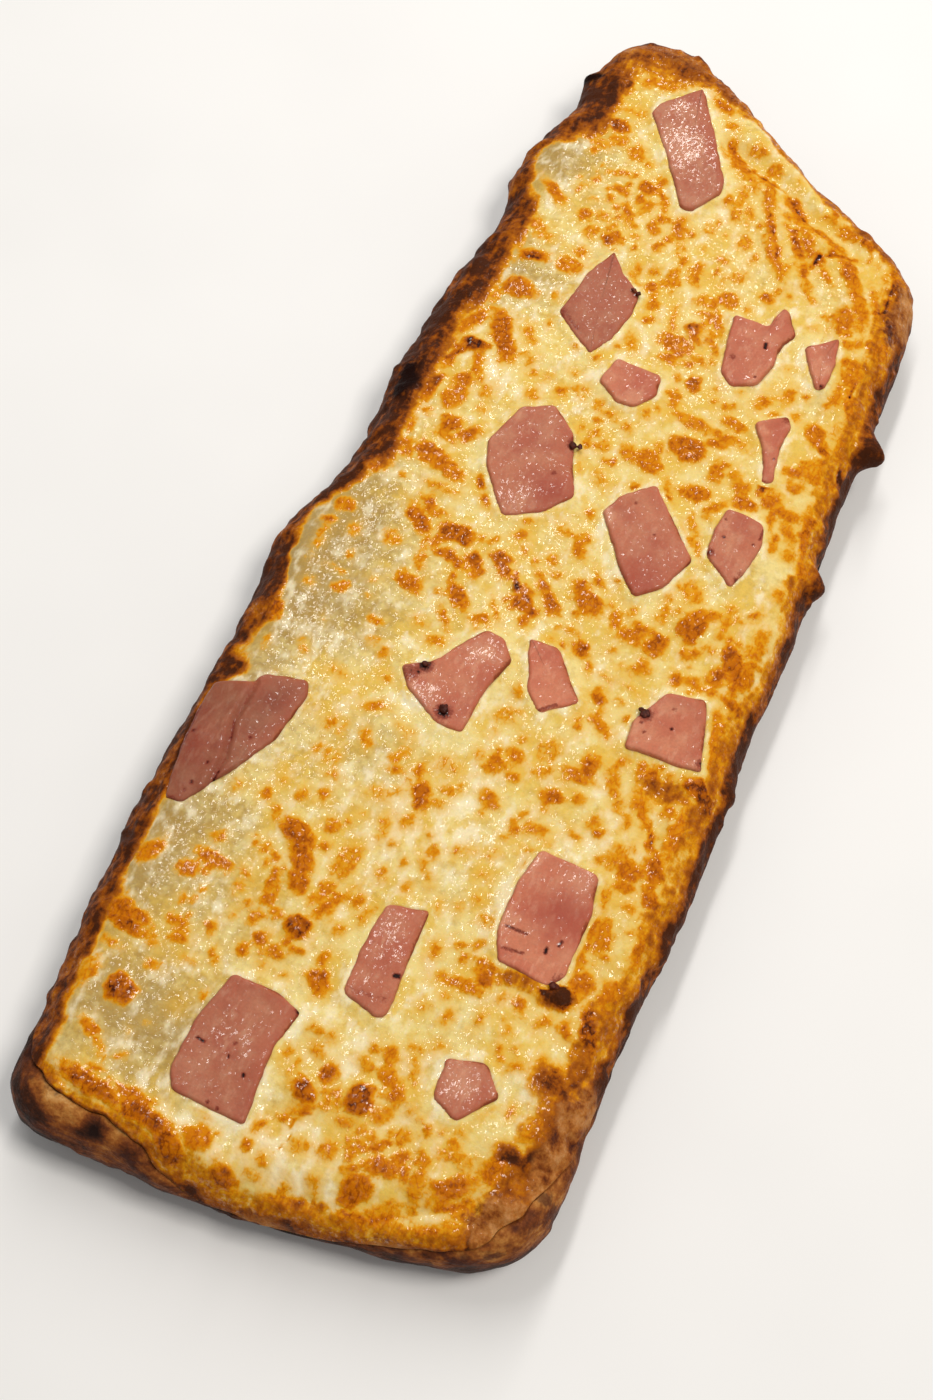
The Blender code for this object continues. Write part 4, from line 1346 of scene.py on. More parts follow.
@dataclass(frozen=True)
class Studio:
    """The floor, the soft lights and the camera at the photograph's viewing angle."""

    azimuth: float = 20.83
    elevation: float = 62.0
    roll: float = 3.0
    distance: float = 393.0
    target: tuple[float, float] = (-5.07, -33.6)
    focal_pixels: float = 1900.0
    long_side_pixels: float = 1400.0
    sensor: float = 36.0
    sky: tuple = (1.0, 0.98, 0.95, 1.0)
    sky_strength: float = 0.31
    lamps: tuple = (("key", (0.47, 0.04, 1.0), (0.35, 0.35), 5.9, (1.0, 0.95, 0.88)),
                    ("glint", (-0.19, 0.42, 0.70), (0.08, 0.90), 3.6, (1.0, 0.97, 0.93)))
    floor_half: float = 3.0

    def camera(self) -> None:
        """Place the camera."""
        turn, rise = math.radians(self.azimuth), math.radians(self.elevation)
        back = Vector((math.sin(turn) * math.cos(rise), -math.cos(turn) * math.cos(rise), math.sin(rise)))
        right = Vector((0, 0, 1)).cross(back).normalized()
        up = back.cross(right)
        cos, sin = math.cos(math.radians(self.roll)), math.sin(math.radians(self.roll))
        rolled_right, rolled_up = right * cos + up * sin, up * cos - right * sin
        eye = (Vector((*self.target, 0.0)) - Vector(MIDDLE) + back * self.distance) * MM
        data = bpy.data.cameras.new("photo_camera")
        data.sensor_width = self.sensor
        data.lens = self.focal_pixels / self.long_side_pixels * self.sensor
        data.clip_start, data.clip_end = 0.01, 20.0
        camera = bpy.data.objects.new("photo_camera", data)
        rows = Matrix((rolled_right, rolled_up, back)).transposed().to_4x4()
        camera.matrix_world = Matrix.Translation(eye) @ rows
        bpy.context.collection.objects.link(camera)
        bpy.context.scene.camera = camera

    def lamp(self, name: str, place: tuple, size: tuple, power: float, colour: tuple) -> None:
        """Add a soft panel light that faces the bread, its long side running along it.

        Args:
            name: the light's name.
            place: where it stands, in metres.
            size: its width and length, in metres.
            power: its strength in watts.
            colour: its linear colour.
        """
        data = bpy.data.lights.new(name, "AREA")
        data.shape = "RECTANGLE"
        data.size, data.size_y = size
        data.energy = power
        data.color = colour
        back = Vector(place).normalized()
        across = Vector((0, 1, 0)).cross(back).normalized()
        rows = Matrix((across, back.cross(across), back)).transposed()
        lamp = bpy.data.objects.new(name, data)
        lamp.matrix_world = Matrix.Translation(place) @ rows.to_4x4()
        bpy.context.collection.objects.link(lamp)

    def build(self) -> bpy.types.Object:
        """Make the floor, the lights, the surroundings and the camera.

        Returns:
            The floor.
        """
        scene = bpy.context.scene
        scene.view_settings.view_transform = "Standard"
        scene.world = bpy.data.worlds.new("studio")
        scene.world.use_nodes = True
        sky = scene.world.node_tree.nodes["Background"]
        sky.inputs["Color"].default_value = self.sky
        sky.inputs["Strength"].default_value = self.sky_strength
        for lamp in self.lamps:
            self.lamp(*lamp)
        board = Board("pale_floor")
        paper = board.soft(board.grain(60.0, 2.0), 0.3, 0.7, 0.86, 0.88)
        shade = board.add("CombineColor", {}, {0: paper, 1: paper, 2: paper}).outputs[0]
        material = board.finish(Base_Color=shade, Roughness=0.9)
        mesh = bpy.data.meshes.new("floor")
        half = self.floor_half
        corners = [(-half, -half, 0), (half, -half, 0), (half, half, 0), (-half, half, 0)]
        mesh.from_pydata(corners, [], [(0, 1, 2, 3)])
        mesh.materials.append(material)
        floor = bpy.data.objects.new("floor", mesh)
        bpy.context.collection.objects.link(floor)
        self.camera()
        return floor


# Blisters read one by one, from the far end to the near end: (x, y, length, width, turn from +X in degrees,
# bake).
FAR_BLISTERS: Table = [
    (-29.5, 111, 6, 4, -10, 0.85), (-28, 107, 4, 4, 0, 0.4), (-22.5, 105, 5, 3.6, 90, 0.42),
    (-19, 103, 2.5, 2, 0, 0.3), (-27, 117, 8, 3, 0, 0.2), (-31, 104, 5, 4, 20, 0.4),
    (-25, 128, 9, 4, 15, 0.5), (-34, 124, 5, 5, 80, 0.9), (-5, 121.5, 3, 2.5, 0, 0.35),
    (-3, 116, 5, 3, 100, 0.5), (-1, 112.5, 5, 3, 110, 0.6), (-9, 127, 6, 3, -30, 0.6),
    (3, 117, 4.4, 3, 0, 0.4), (8.5, 113, 4.4, 3, 60, 0.42), (2, 110, 9, 2.6, -35, 0.55),
    (5.5, 106.5, 5, 2, -60, 0.4), (10, 105, 9, 2.8, -65, 0.5), (17, 104, 9, 4, -50, 0.6),
    (4.2, 102, 7, 2.6, 95, 0.3), (25, 104, 4, 2, 0, 0.42), (30, 102, 6, 3, -25, 0.5),
    (24, 100, 3, 1.2, -20, 0.7), (35, 101, 4.5, 3, -30, 0.75), (-36.5, 87, 9, 2.6, -38, 0.6),
    (-31, 91, 4, 3, 30, 0.15), (-24, 97.5, 6, 3, 10, 0.4), (-20.5, 98.5, 2, 2, 0, 0.4),
    (-22, 92.8, 5, 2.8, -10, 0.6), (-16.8, 96, 4.4, 3.4, -30, 0.68), (-12.6, 94.5, 7, 1.7, -62, 0.65),
    (-14.5, 90.8, 4, 3, 70, 0.5), (-9.5, 89.5, 3, 2, 0, 0.35), (-17.5, 87, 7.4, 2.8, -60, 0.52),
    (-20.5, 87.5, 3, 2, 80, 0.4), (-26.5, 87.5, 2.2, 1.5, 0, 0.3), (-23, 84, 4, 3, 30, 0.36),
    (-27, 82.8, 3, 2.8, 0, 0.6), (-11, 85.5, 4, 2.2, -60, 0.52), (-5.3, 87, 7.4, 2.6, -70, 0.52),
    (-6.6, 84.4, 3, 2.5, 0, 0.55), (-8, 81.5, 3.8, 2.4, 80, 0.62), (-14, 81.5, 2, 2, 0, 0.25),
    (-23.5, 79, 4.6, 3.6, 90, 0.42), (-18.4, 78.6, 4.8, 4.2, 40, 0.7), (-20, 81.8, 3, 2, 0, 0.42),
    (-3.5, 82, 3, 1.5, -80, 0.35), (-37, 76, 8, 3.4, -15, 0.5), (-33, 73, 5, 3, 0, 0.3),
    (-23.5, 72, 3.2, 2.5, 0, 0.48), (-24.5, 67.6, 6.6, 4.6, -10, 0.5), (-33, 66.5, 6.5, 3.8, 20, 1.0),
    (-32, 57, 7.2, 5.6, 0, 0.62), (-28.6, 57, 3.2, 3, 0, 0.42), (-37, 53, 6, 4, 80, 0.3),
    (-10, 72, 4.2, 2.5, 85, 0.36), (-6.5, 74.5, 2.6, 2.5, 0, 0.36), (-2, 73.2, 4.6, 3.4, 90, 0.52),
    (-5.5, 69.5, 3.6, 3, -60, 0.52), (-9, 69, 2, 1.5, 90, 0.4), (-4, 66.8, 3, 2, -70, 0.42),
    (-3, 60.5, 2.5, 2.3, 0, 0.45), (-4, 53.4, 4.4, 2, -65, 0.48), (-6, 51, 2, 2, 0, 0.32),
    (4.5, 98, 7, 2.5, -75, 0.36), (7.6, 97.6, 6, 2, -75, 0.36), (12.8, 96.8, 12, 2.5, -63, 0.6),
    (17.2, 88, 12, 3.6, -58, 0.48), (1, 90.5, 4, 3, 100, 0.25), (9, 90.2, 4, 3, -60, 0.36),
    (12.8, 86.4, 4, 1.9, 85, 0.38), (11.5, 80, 3.6, 3.4, 0, 0.26), (6, 83, 3, 2.6, 0, 0.3),
    (6, 79, 2.5, 2, 90, 0.38), (2, 78, 3, 3, 0, 0.26), (2.7, 75.4, 3.8, 2.3, -70, 0.58),
    (8.5, 76.4, 1.6, 1.4, 0, 0.25), (19, 77, 3.3, 2.9, 0, 0.68), (20.6, 79, 3, 2, 80, 0.35),
    (11.5, 73, 4.7, 4.2, 20, 0.48), (8.8, 70.8, 3.4, 3, 0, 0.52), (6, 71, 4, 3, 60, 0.32),
    (9, 67.4, 5, 3.4, -30, 0.48), (11.2, 66.5, 8, 1.6, -60, 0.52), (7.4, 62, 4, 3.5, 20, 0.8),
    (8.6, 59.4, 3, 2.2, -10, 0.82), (2.6, 62, 8, 1.7, -75, 0.36), (5.2, 56.4, 8, 5, -20, 0.58),
    (12.6, 59.5, 10, 2, -65, 0.42), (11.5, 54.4, 5, 2, -10, 0.36), (9.2, 52.6, 2.4, 2, 0, 0.62),
    (5, 52.2, 4.4, 2.4, 0, 0.5), (20, 99.6, 12, 3.6, -18, 0.36), (18.4, 96.8, 2.2, 1.2, 0, 0.95),
    (20.2, 93.6, 8, 2.4, -62, 0.75), (22.5, 95, 9, 2.6, -55, 0.55), (27.4, 97.6, 8, 3.2, -32, 0.5),
    (31.5, 95, 4, 1.4, 10, 0.8), (26, 92, 4.4, 2.8, -75, 0.75), (24, 87, 5.4, 2.4, -60, 0.66),
    (26, 83.8, 5, 2, -70, 0.42), (29, 88, 6.4, 2.2, -45, 0.45), (33.6, 91.4, 7.6, 4, -60, 0.6),
    (37.6, 84, 14, 3.4, -62, 0.52), (41.8, 84, 10, 2, -68, 0.52), (45.2, 90, 16, 2.2, -68, 0.85),
    (37, 77, 8, 4.4, -70, 0.58), (34.8, 76, 4, 1.8, 90, 0.42), (39.6, 71, 3.4, 3, 0, 0.52),
    (32.4, 77.5, 2, 1.3, 90, 0.38), (31, 73, 2.2, 1.6, 20, 0.2), (46, 74, 7, 5.4, 80, 0.58),
    (43, 63.6, 8, 4.6, 80, 0.52), (48, 66, 12, 3.4, -80, 0.58), (46, 55, 8, 4.6, -70, 0.52),
    (42, 57, 7, 3.6, 70, 0.48), (32, 53.4, 5, 3.2, 80, 0.36), (29.5, 60, 1.5, 1.3, 0, 0.2),
]
UPPER_BLISTERS: Table = [
    (-30.4, 43.6, 14, 4.6, -58, 0.75), (-38, 44.4, 8, 3.8, 68, 0.6), (-34.8, 37.8, 5.2, 3.4, 10, 1.0),
    (-37.7, 34.2, 8, 2.2, 76, 0.8), (-32.3, 34.4, 9, 1.9, -66, 0.62), (-33.4, 28.8, 5, 4.4, 60, 0.66),
    (-33.4, 23.6, 7, 4.6, 80, 0.58), (-27.8, 27.4, 3.6, 3, 80, 0.36), (-26.5, 23, 2.1, 1.9, 0, 0.32),
    (-39, 24, 9, 3.6, 78, 0.75), (-37, 17.5, 2.4, 1.9, -20, 0.32), (-31, 17, 4.6, 4.4, 0, 0.75),
    (-26.6, 16, 5.4, 3, 50, 0.66), (-31, 13.8, 5, 2.6, -10, 0.5), (-39, 13, 4.4, 2.8, 90, 0.42),
    (-38, 7.4, 5, 4.6, 0, 0.46), (-31.4, 8, 9, 4.6, -15, 0.66), (-26.6, 6, 7, 3.8, -30, 0.54),
    (-42, 1, 7, 5, 0, 0.7), (-35, 0.5, 2, 1.2, 0, 0.6), (-24, 0.5, 3.2, 2, 0, 0.42),
    (-27.6, 1.4, 5, 2.6, -10, 0.36), (-25.5, 46, 5, 2.8, -60, 0.34), (-12, 40.2, 2.2, 2, 0, 0.2),
    (-9.5, 36, 3.2, 1.7, -60, 0.44), (-22, 39, 3, 2, 85, 0.18), (-1, 33, 4, 2.4, 0, 0.36),
    (-2, 27, 3.2, 2, 30, 0.36), (-1, 24, 2.2, 1.8, 0, 0.3), (-6.2, 25, 2, 1.2, 70, 0.7),
    (-19.5, 5.5, 2.4, 1.8, -50, 0.95), (-17, 2, 2.6, 1.1, -50, 0.8), (12.5, 48, 4.2, 3.2, -75, 0.7),
    (18.5, 45, 2, 1.2, 80, 0.42), (17.5, 48, 1.8, 0.9, 90, 0.36), (21.3, 45.3, 2.2, 1.7, 0, 0.36),
    (9.5, 43, 4.4, 2.8, -40, 0.42), (24.5, 41.3, 5, 2.9, -10, 0.52), (27.8, 49.5, 5, 2.4, 70, 0.42),
    (16, 38, 11, 2.7, -12, 0.48), (23.4, 37.2, 9, 2.8, 4, 0.52), (21.8, 35, 4.4, 2.2, 20, 0.7),
    (27, 36.5, 4, 1.5, -15, 0.36), (17, 31.2, 7.4, 6.4, 10, 0.68), (25, 28.6, 5.6, 2.3, 96, 0.52),
    (3.5, 31.5, 2.3, 2, 0, 0.36), (29.5, 28, 5.4, 3, -45, 0.42), (31.6, 26.4, 4.4, 3, 75, 0.42),
    (33, 23, 5.4, 3.8, -20, 0.6), (35, 28.4, 3.6, 2.1, 85, 0.95), (6.5, 25.2, 5.6, 3.6, -40, 0.44),
    (10.8, 25, 7, 5.4, -40, 0.56), (0.5, 25, 3.2, 2.4, 80, 0.36), (2.5, 21.4, 2.2, 1.9, 0, 0.36),
    (3.5, 16.6, 4.4, 2.6, -40, 0.2), (1.5, 2, 3.2, 2, -40, 0.36), (5.5, -0.4, 6, 3.6, -80, 0.5),
    (23, 21.4, 6.6, 4, 20, 0.6), (27.4, 19, 5.4, 2.4, 60, 0.48), (29, 20.6, 2.2, 1.9, 0, 0.52),
    (17, 20, 4.4, 1.3, -65, 0.42), (17.5, 18, 1.4, 1.1, 0, 0.9), (24.5, 14, 4.4, 1.8, -60, 0.42),
    (27, 9, 5.4, 1.9, -65, 0.36), (38, 26, 5, 3.6, 80, 0.54), (39.5, 22, 7, 1.5, 88, 0.62),
    (42, 24, 5, 3, 0, 0.58), (43.6, 20, 5, 2.6, -50, 0.46), (41, 45.5, 7, 3.8, -60, 0.6),
    (44, 42.8, 3, 2.7, 0, 0.85), (39.6, 34.6, 4, 2.8, 0, 0.6), (43, 37, 6.4, 5.6, 40, 0.38),
    (41, 31.4, 4.2, 2.8, 20, 0.46), (47, 46, 10, 2.8, -70, 0.52), (48, 34, 16, 3.4, -86, 0.5),
    (47, 22, 13, 2.4, -82, 0.68), (49, 12, 10, 2.6, -75, 0.62), (47, 5.4, 3.2, 1.8, 70, 0.48),
]
MIDDLE_BLISTERS: Table = [
    (-46, -39, 7, 5, -50, 0.85), (-42.5, -11, 4.6, 3.8, 30, 0.58), (-43.8, -20, 9, 2, 88, 0.42),
    (-44, -16, 3.4, 2.8, 0, 0.58), (-37.5, -26, 4.2, 1.6, -4, 0.38), (-35.2, -29.4, 3.2, 2.9, 40, 0.58),
    (-41.5, -31, 3, 2.4, 0, 0.36), (-36, -44.6, 3, 2.4, -60, 0.3), (-35, -37.5, 2, 1.5, -60, 0.2),
    (-29.5, -25.3, 1.5, 1, 0, 0.38), (-29, -29, 1.2, 1, 0, 0.42), (-25.5, -33.7, 3.3, 2.9, 0, 0.42),
    (-24, -38.5, 2.8, 2, -20, 0.25), (-17.5, -44.5, 1.8, 1.2, 0, 0.36), (-27, -47.5, 2.4, 1.4, 0, 0.24),
    (-27, -3.8, 6, 3, -50, 0.64), (-27.6, -8, 9, 3.2, -45, 0.75), (-23.5, -5, 2.4, 1.9, 0, 0.66),
    (-24, -13, 6, 1.6, -78, 0.52), (-23, -17, 4, 1.9, -60, 0.54), (-30.5, -14.5, 4.6, 3.6, 20, 0.38),
    (-19, -8.4, 8, 4.4, 0, 0.82), (-21.6, -11, 6, 2.8, 80, 0.54), (-17.4, -14, 9, 3, -12, 0.7),
    (-13, -12.8, 4.6, 2.7, -60, 0.95), (-11.8, -14.8, 3.6, 2.8, 60, 0.64), (-6.5, -3.3, 3.2, 2.4, 60, 0.42),
    (-8, -9.5, 5, 2.9, -10, 0.78), (-6.8, -11.6, 5.8, 3.6, -50, 0.7), (-11.3, -6, 1.6, 1.1, 40, 0.75),
    (-3, -14.4, 3.8, 1.2, -65, 1.5), (-0.8, -18, 4.6, 4.2, 0, 0.76), (-23, -22.4, 6.6, 4.6, -20, 0.6),
    (-13, -21.4, 6.6, 3, -45, 0.72), (-4.5, -21.5, 4.4, 1.4, -55, 0.52), (-6.5, -24.8, 3.8, 2.8, 20, 0.46),
    (-13.3, -27.5, 5, 1.6, -52, 0.56), (-12.5, -33, 4.4, 2.4, 10, 0.36), (-17, -30, 3.2, 2, -20, 0.2),
    (3, 1.2, 2.4, 2, 0, 0.4), (12.5, -6.5, 3.4, 1.8, -35, 0.54), (3.5, -8.8, 3, 1.7, -20, 0.3),
    (9, -9.4, 4.2, 3.2, -60, 0.72), (11.8, -12.4, 7, 4, -28, 0.64), (2, -12.4, 5.6, 2.1, -52, 0.7),
    (5, -15.4, 6.4, 2.8, -52, 0.7), (-1, -15.4, 3.4, 2.6, 0, 0.64), (1.4, -18.6, 4.4, 2.8, 0, 0.76),
    (18.5, -13.4, 4.8, 2, -76, 0.58), (22.5, -16, 5.4, 3.6, 0, 0.54), (23.6, -13.8, 3.2, 2, -20, 0.64),
    (27.8, -15.8, 4.6, 4, 70, 0.76), (20.3, -20.5, 1.6, 1.2, 80, 0.42), (26.6, -22, 4.3, 3.1, 80, 0.43),
    (23.7, -23.4, 1.4, 1.2, 0, 0.32), (14.5, -22.8, 4.4, 2.9, -30, 0.76), (11.5, -19.5, 3, 2, -50, 0.25),
    (17.5, -25.5, 3, 1.5, -45, 0.32), (21.5, -27, 1.8, 1.1, 0, 0.36), (26.8, -26.8, 3, 1.3, -20, 0.37),
    (22, -31.4, 3.6, 3, -60, 0.64), (26, -31, 1.7, 1.4, 0, 0.3), (23.5, -34, 1.8, 1.4, 0, 0.36),
    (20.3, -38.4, 3.8, 1.9, -75, 0.37), (24.5, -37, 5.8, 2.3, -38, 0.54), (22, -35.5, 1.2, 1, 0, 0.36),
    (30, -2, 5.2, 3.2, -70, 0.36), (27, -9, 5.4, 1.9, 82, 0.37), (33.4, -9.6, 7, 5.2, 70, 0.76),
    (35.5, -6, 3.4, 2.9, 0, 0.6), (39.5, -6, 4.2, 1.9, 85, 0.37), (36, -15, 3.2, 2.4, 70, 0.48),
    (38.5, -12.5, 2.3, 1.9, 0, 0.36), (44, -2, 3.2, 1.9, 60, 0.5), (46.4, -8, 8, 3.4, 82, 0.44),
    (43.5, -14, 9, 3.6, -60, 0.78), (41.8, -18, 4.6, 2.6, 80, 0.74), (45.8, -18, 4.6, 2.4, 80, 0.7),
    (47, -12.4, 3.4, 2, 30, 0.66), (37.5, -21, 5, 1.9, 15, 0.48), (41, -21.5, 5.4, 1.8, 5, 0.54),
    (47, -22, 5, 3, -20, 0.66), (45.6, -28, 6.4, 3.4, -70, 0.42), (48, -34, 9, 4, -80, 0.54),
    (47.5, -43, 9, 3.8, -36, 0.88), (31, -43.5, 3.2, 2, 80, 0.54), (35, -43, 3.3, 1.9, -60, 0.6),
    (37.8, -44, 4.6, 3, -60, 0.76), (36, -46, 4.2, 1.8, 85, 0.36), (41.5, -45, 8, 3.4, -68, 0.42),
    (26, -46.4, 5.2, 3.6, 80, 0.66), (23.8, -48.6, 4.2, 2.8, 20, 0.5), (31.5, -48, 8, 2.6, -65, 0.37),
    (7.5, -42.4, 4.4, 3, 50, 0.37), (11.5, -46, 1.7, 1.3, 0, 0.3), (12, -50.4, 4, 3, -30, 0.52),
    (17.5, -46.4, 5, 4.4, 30, 0.24), (18, -50.4, 4.4, 2.4, 20, 0.4), (47, -50, 6.4, 3.6, 85, 0.46),
]
LOWER_BLISTERS: Table = [
    (-17.6, -51.4, 4.6, 2.4, 18, 0.54), (-16, -58.4, 4.8, 2.8, -50, 0.37), (-8.6, -59.4, 4, 3.2, 60, 0.46),
    (-8, -62, 4, 1.9, 10, 0.42), (-21, -58.4, 2.3, 1.5, 80, 0.26), (-10, -54, 4, 2, -40, 0.2),
    (-3.2, -61.4, 4, 1.8, -48, 0.52), (-1.2, -65, 6.4, 3.8, -62, 0.74), (-19.5, -65, 5, 1.4, -78, 0.25),
    (-18.4, -68.4, 2.5, 1.9, -40, 0.25), (-9, -68.4, 5, 2.3, 15, 0.2), (-6, -66.8, 4, 1.9, 30, 0.2),
    (-5, -74, 4.8, 2.4, 88, 0.32), (-10, -73, 1.2, 1, 0, 0.32), (-14.5, -78, 3.9, 2.7, 52, 0.56),
    (-13.5, -82, 2.3, 1.6, 50, 0.48), (-26, -78.6, 3.2, 1.2, -20, 0.44), (-19, -82, 7.6, 4, -22, 0.8),
    (-16.6, -86, 6.6, 4.2, -60, 0.76), (-15, -90.6, 5, 3.8, -80, 0.7), (-8.6, -83, 7, 4, 82, 0.38),
    (-26, -86, 2.2, 1.5, 0, 0.26), (-21.5, -88, 2.4, 2, 0, 0.44), (-24, -93, 3.4, 1.9, -30, 0.38),
    (-19, -92.4, 6.4, 2.5, -72, 0.54), (-18.4, -96, 3.6, 3, 0, 0.5), (-16.2, -97.6, 3.2, 2.6, 0, 0.54),
    (-7.4, -91.8, 7.6, 1.8, 62, 0.6), (-9.7, -90, 4.4, 2.8, 80, 0.48), (-21.5, -98, 2.3, 2, 0, 0.42),
    (-11, -98.6, 5.2, 4.4, 20, 0.9), (-31.4, -93, 8, 3.6, -10, 0.66), (-35, -96.6, 5.2, 3.6, 20, 0.54),
    (-43, -96, 6.4, 3.6, 62, 0.6), (12.2, -53, 2.2, 1.6, 0, 0.3), (25, -49.4, 5, 2, 10, 0.54),
    (8.8, -53.4, 4.9, 3.6, 62, 0.54), (13, -54.4, 2.6, 2, 20, 0.54), (21.8, -55, 4.3, 3.7, 40, 0.66),
    (26.5, -53.3, 2.9, 2.4, 0, 0.44), (32.5, -58.5, 2.9, 2.4, 20, 0.54), (11.3, -60.4, 4.2, 2.7, -25, 0.54),
    (28.5, -61, 2, 1.1, -20, 0.42), (21.5, -63, 4.4, 2.4, 20, 0.37), (35, -63.4, 2.8, 1.9, 60, 0.37),
    (22, -67, 2.2, 1.1, 0, 0.26), (16.5, -66.5, 1, 0.8, 0, 0.55), (3.3, -72, 1.7, 1.3, 30, 0.32),
    (15.5, -71, 1.4, 1.1, 0, 0.2), (11.8, -71.6, 1.1, 0.9, 0, 0.32), (16.5, -75.2, 2.3, 1.6, 0, 0.26),
    (5.5, -75.8, 1.5, 0.8, 80, 0.5), (5.4, -78.4, 5, 1.7, -50, 0.26), (11.2, -84.5, 1.5, 0.9, 80, 0.32),
    (17.5, -90, 2.4, 2, 0, 0.3), (14.3, -92.5, 2.8, 1.4, 70, 0.44), (-0.6, -91.5, 3.2, 1.9, 80, 0.42),
    (2.6, -62, 2.4, 2, 0, 0.36), (2, -65.5, 3, 1.9, 20, 0.32), (1, -57, 5, 3.4, 0, 0.18),
    (39, -51, 7.4, 2.2, -60, 0.6), (42.2, -56, 5.4, 1.5, -60, 0.66), (36.5, -54, 3.2, 1.6, -85, 0.42),
    (34, -51.5, 3.2, 1.9, 80, 0.42), (46.5, -53, 11, 3.6, 85, 0.54), (45, -61, 6.6, 3.2, -72, 0.72),
    (40.8, -63.4, 5.2, 4.8, 0, 0.6), (41, -67, 3.4, 2.8, 0, 0.6), (46.5, -67, 5.4, 3.6, -45, 0.66),
    (43, -70.4, 3.4, 2.6, 20, 0.37), (38.5, -70, 4.4, 1.9, 88, 0.42), (40, -78, 7.4, 5, -50, 0.48),
    (43, -81.5, 2.3, 1.9, 0, 0.42), (38.6, -83, 8, 2.8, 88, 0.48), (45.5, -75, 1.2, 0.9, 0, 0.54),
    (48, -77, 9, 2.3, 86, 0.66), (47, -88, 7.4, 4.4, 80, 0.54), (40.6, -88, 5.4, 4.6, 40, 0.54),
    (24, -94.4, 3.2, 2.9, 0, 0.8), (23.6, -92, 4.8, 3.4, 10, 0.54), (21, -96.6, 8, 2.8, 5, 0.48),
    (19.5, -92, 2.3, 1.5, 80, 0.37), (26.8, -93, 2, 1.4, 0, 0.54), (28.6, -96, 2.4, 1.4, 70, 0.34),
    (32, -96, 3.8, 2.2, -60, 0.5), (37, -97.5, 2.8, 2.2, 50, 0.37), (41.5, -97, 3.6, 2.3, -60, 0.68),
    (45.6, -95.6, 9, 3.4, -66, 0.92), (19, -100, 1.2, 0.9, 60, 0.4), (26.5, -101, 3.2, 1.4, 80, 0.37),
    (31.7, -101, 2.8, 1.4, -60, 0.38), (37.4, -91.8, 7, 4.2, 0, 1.2),
]
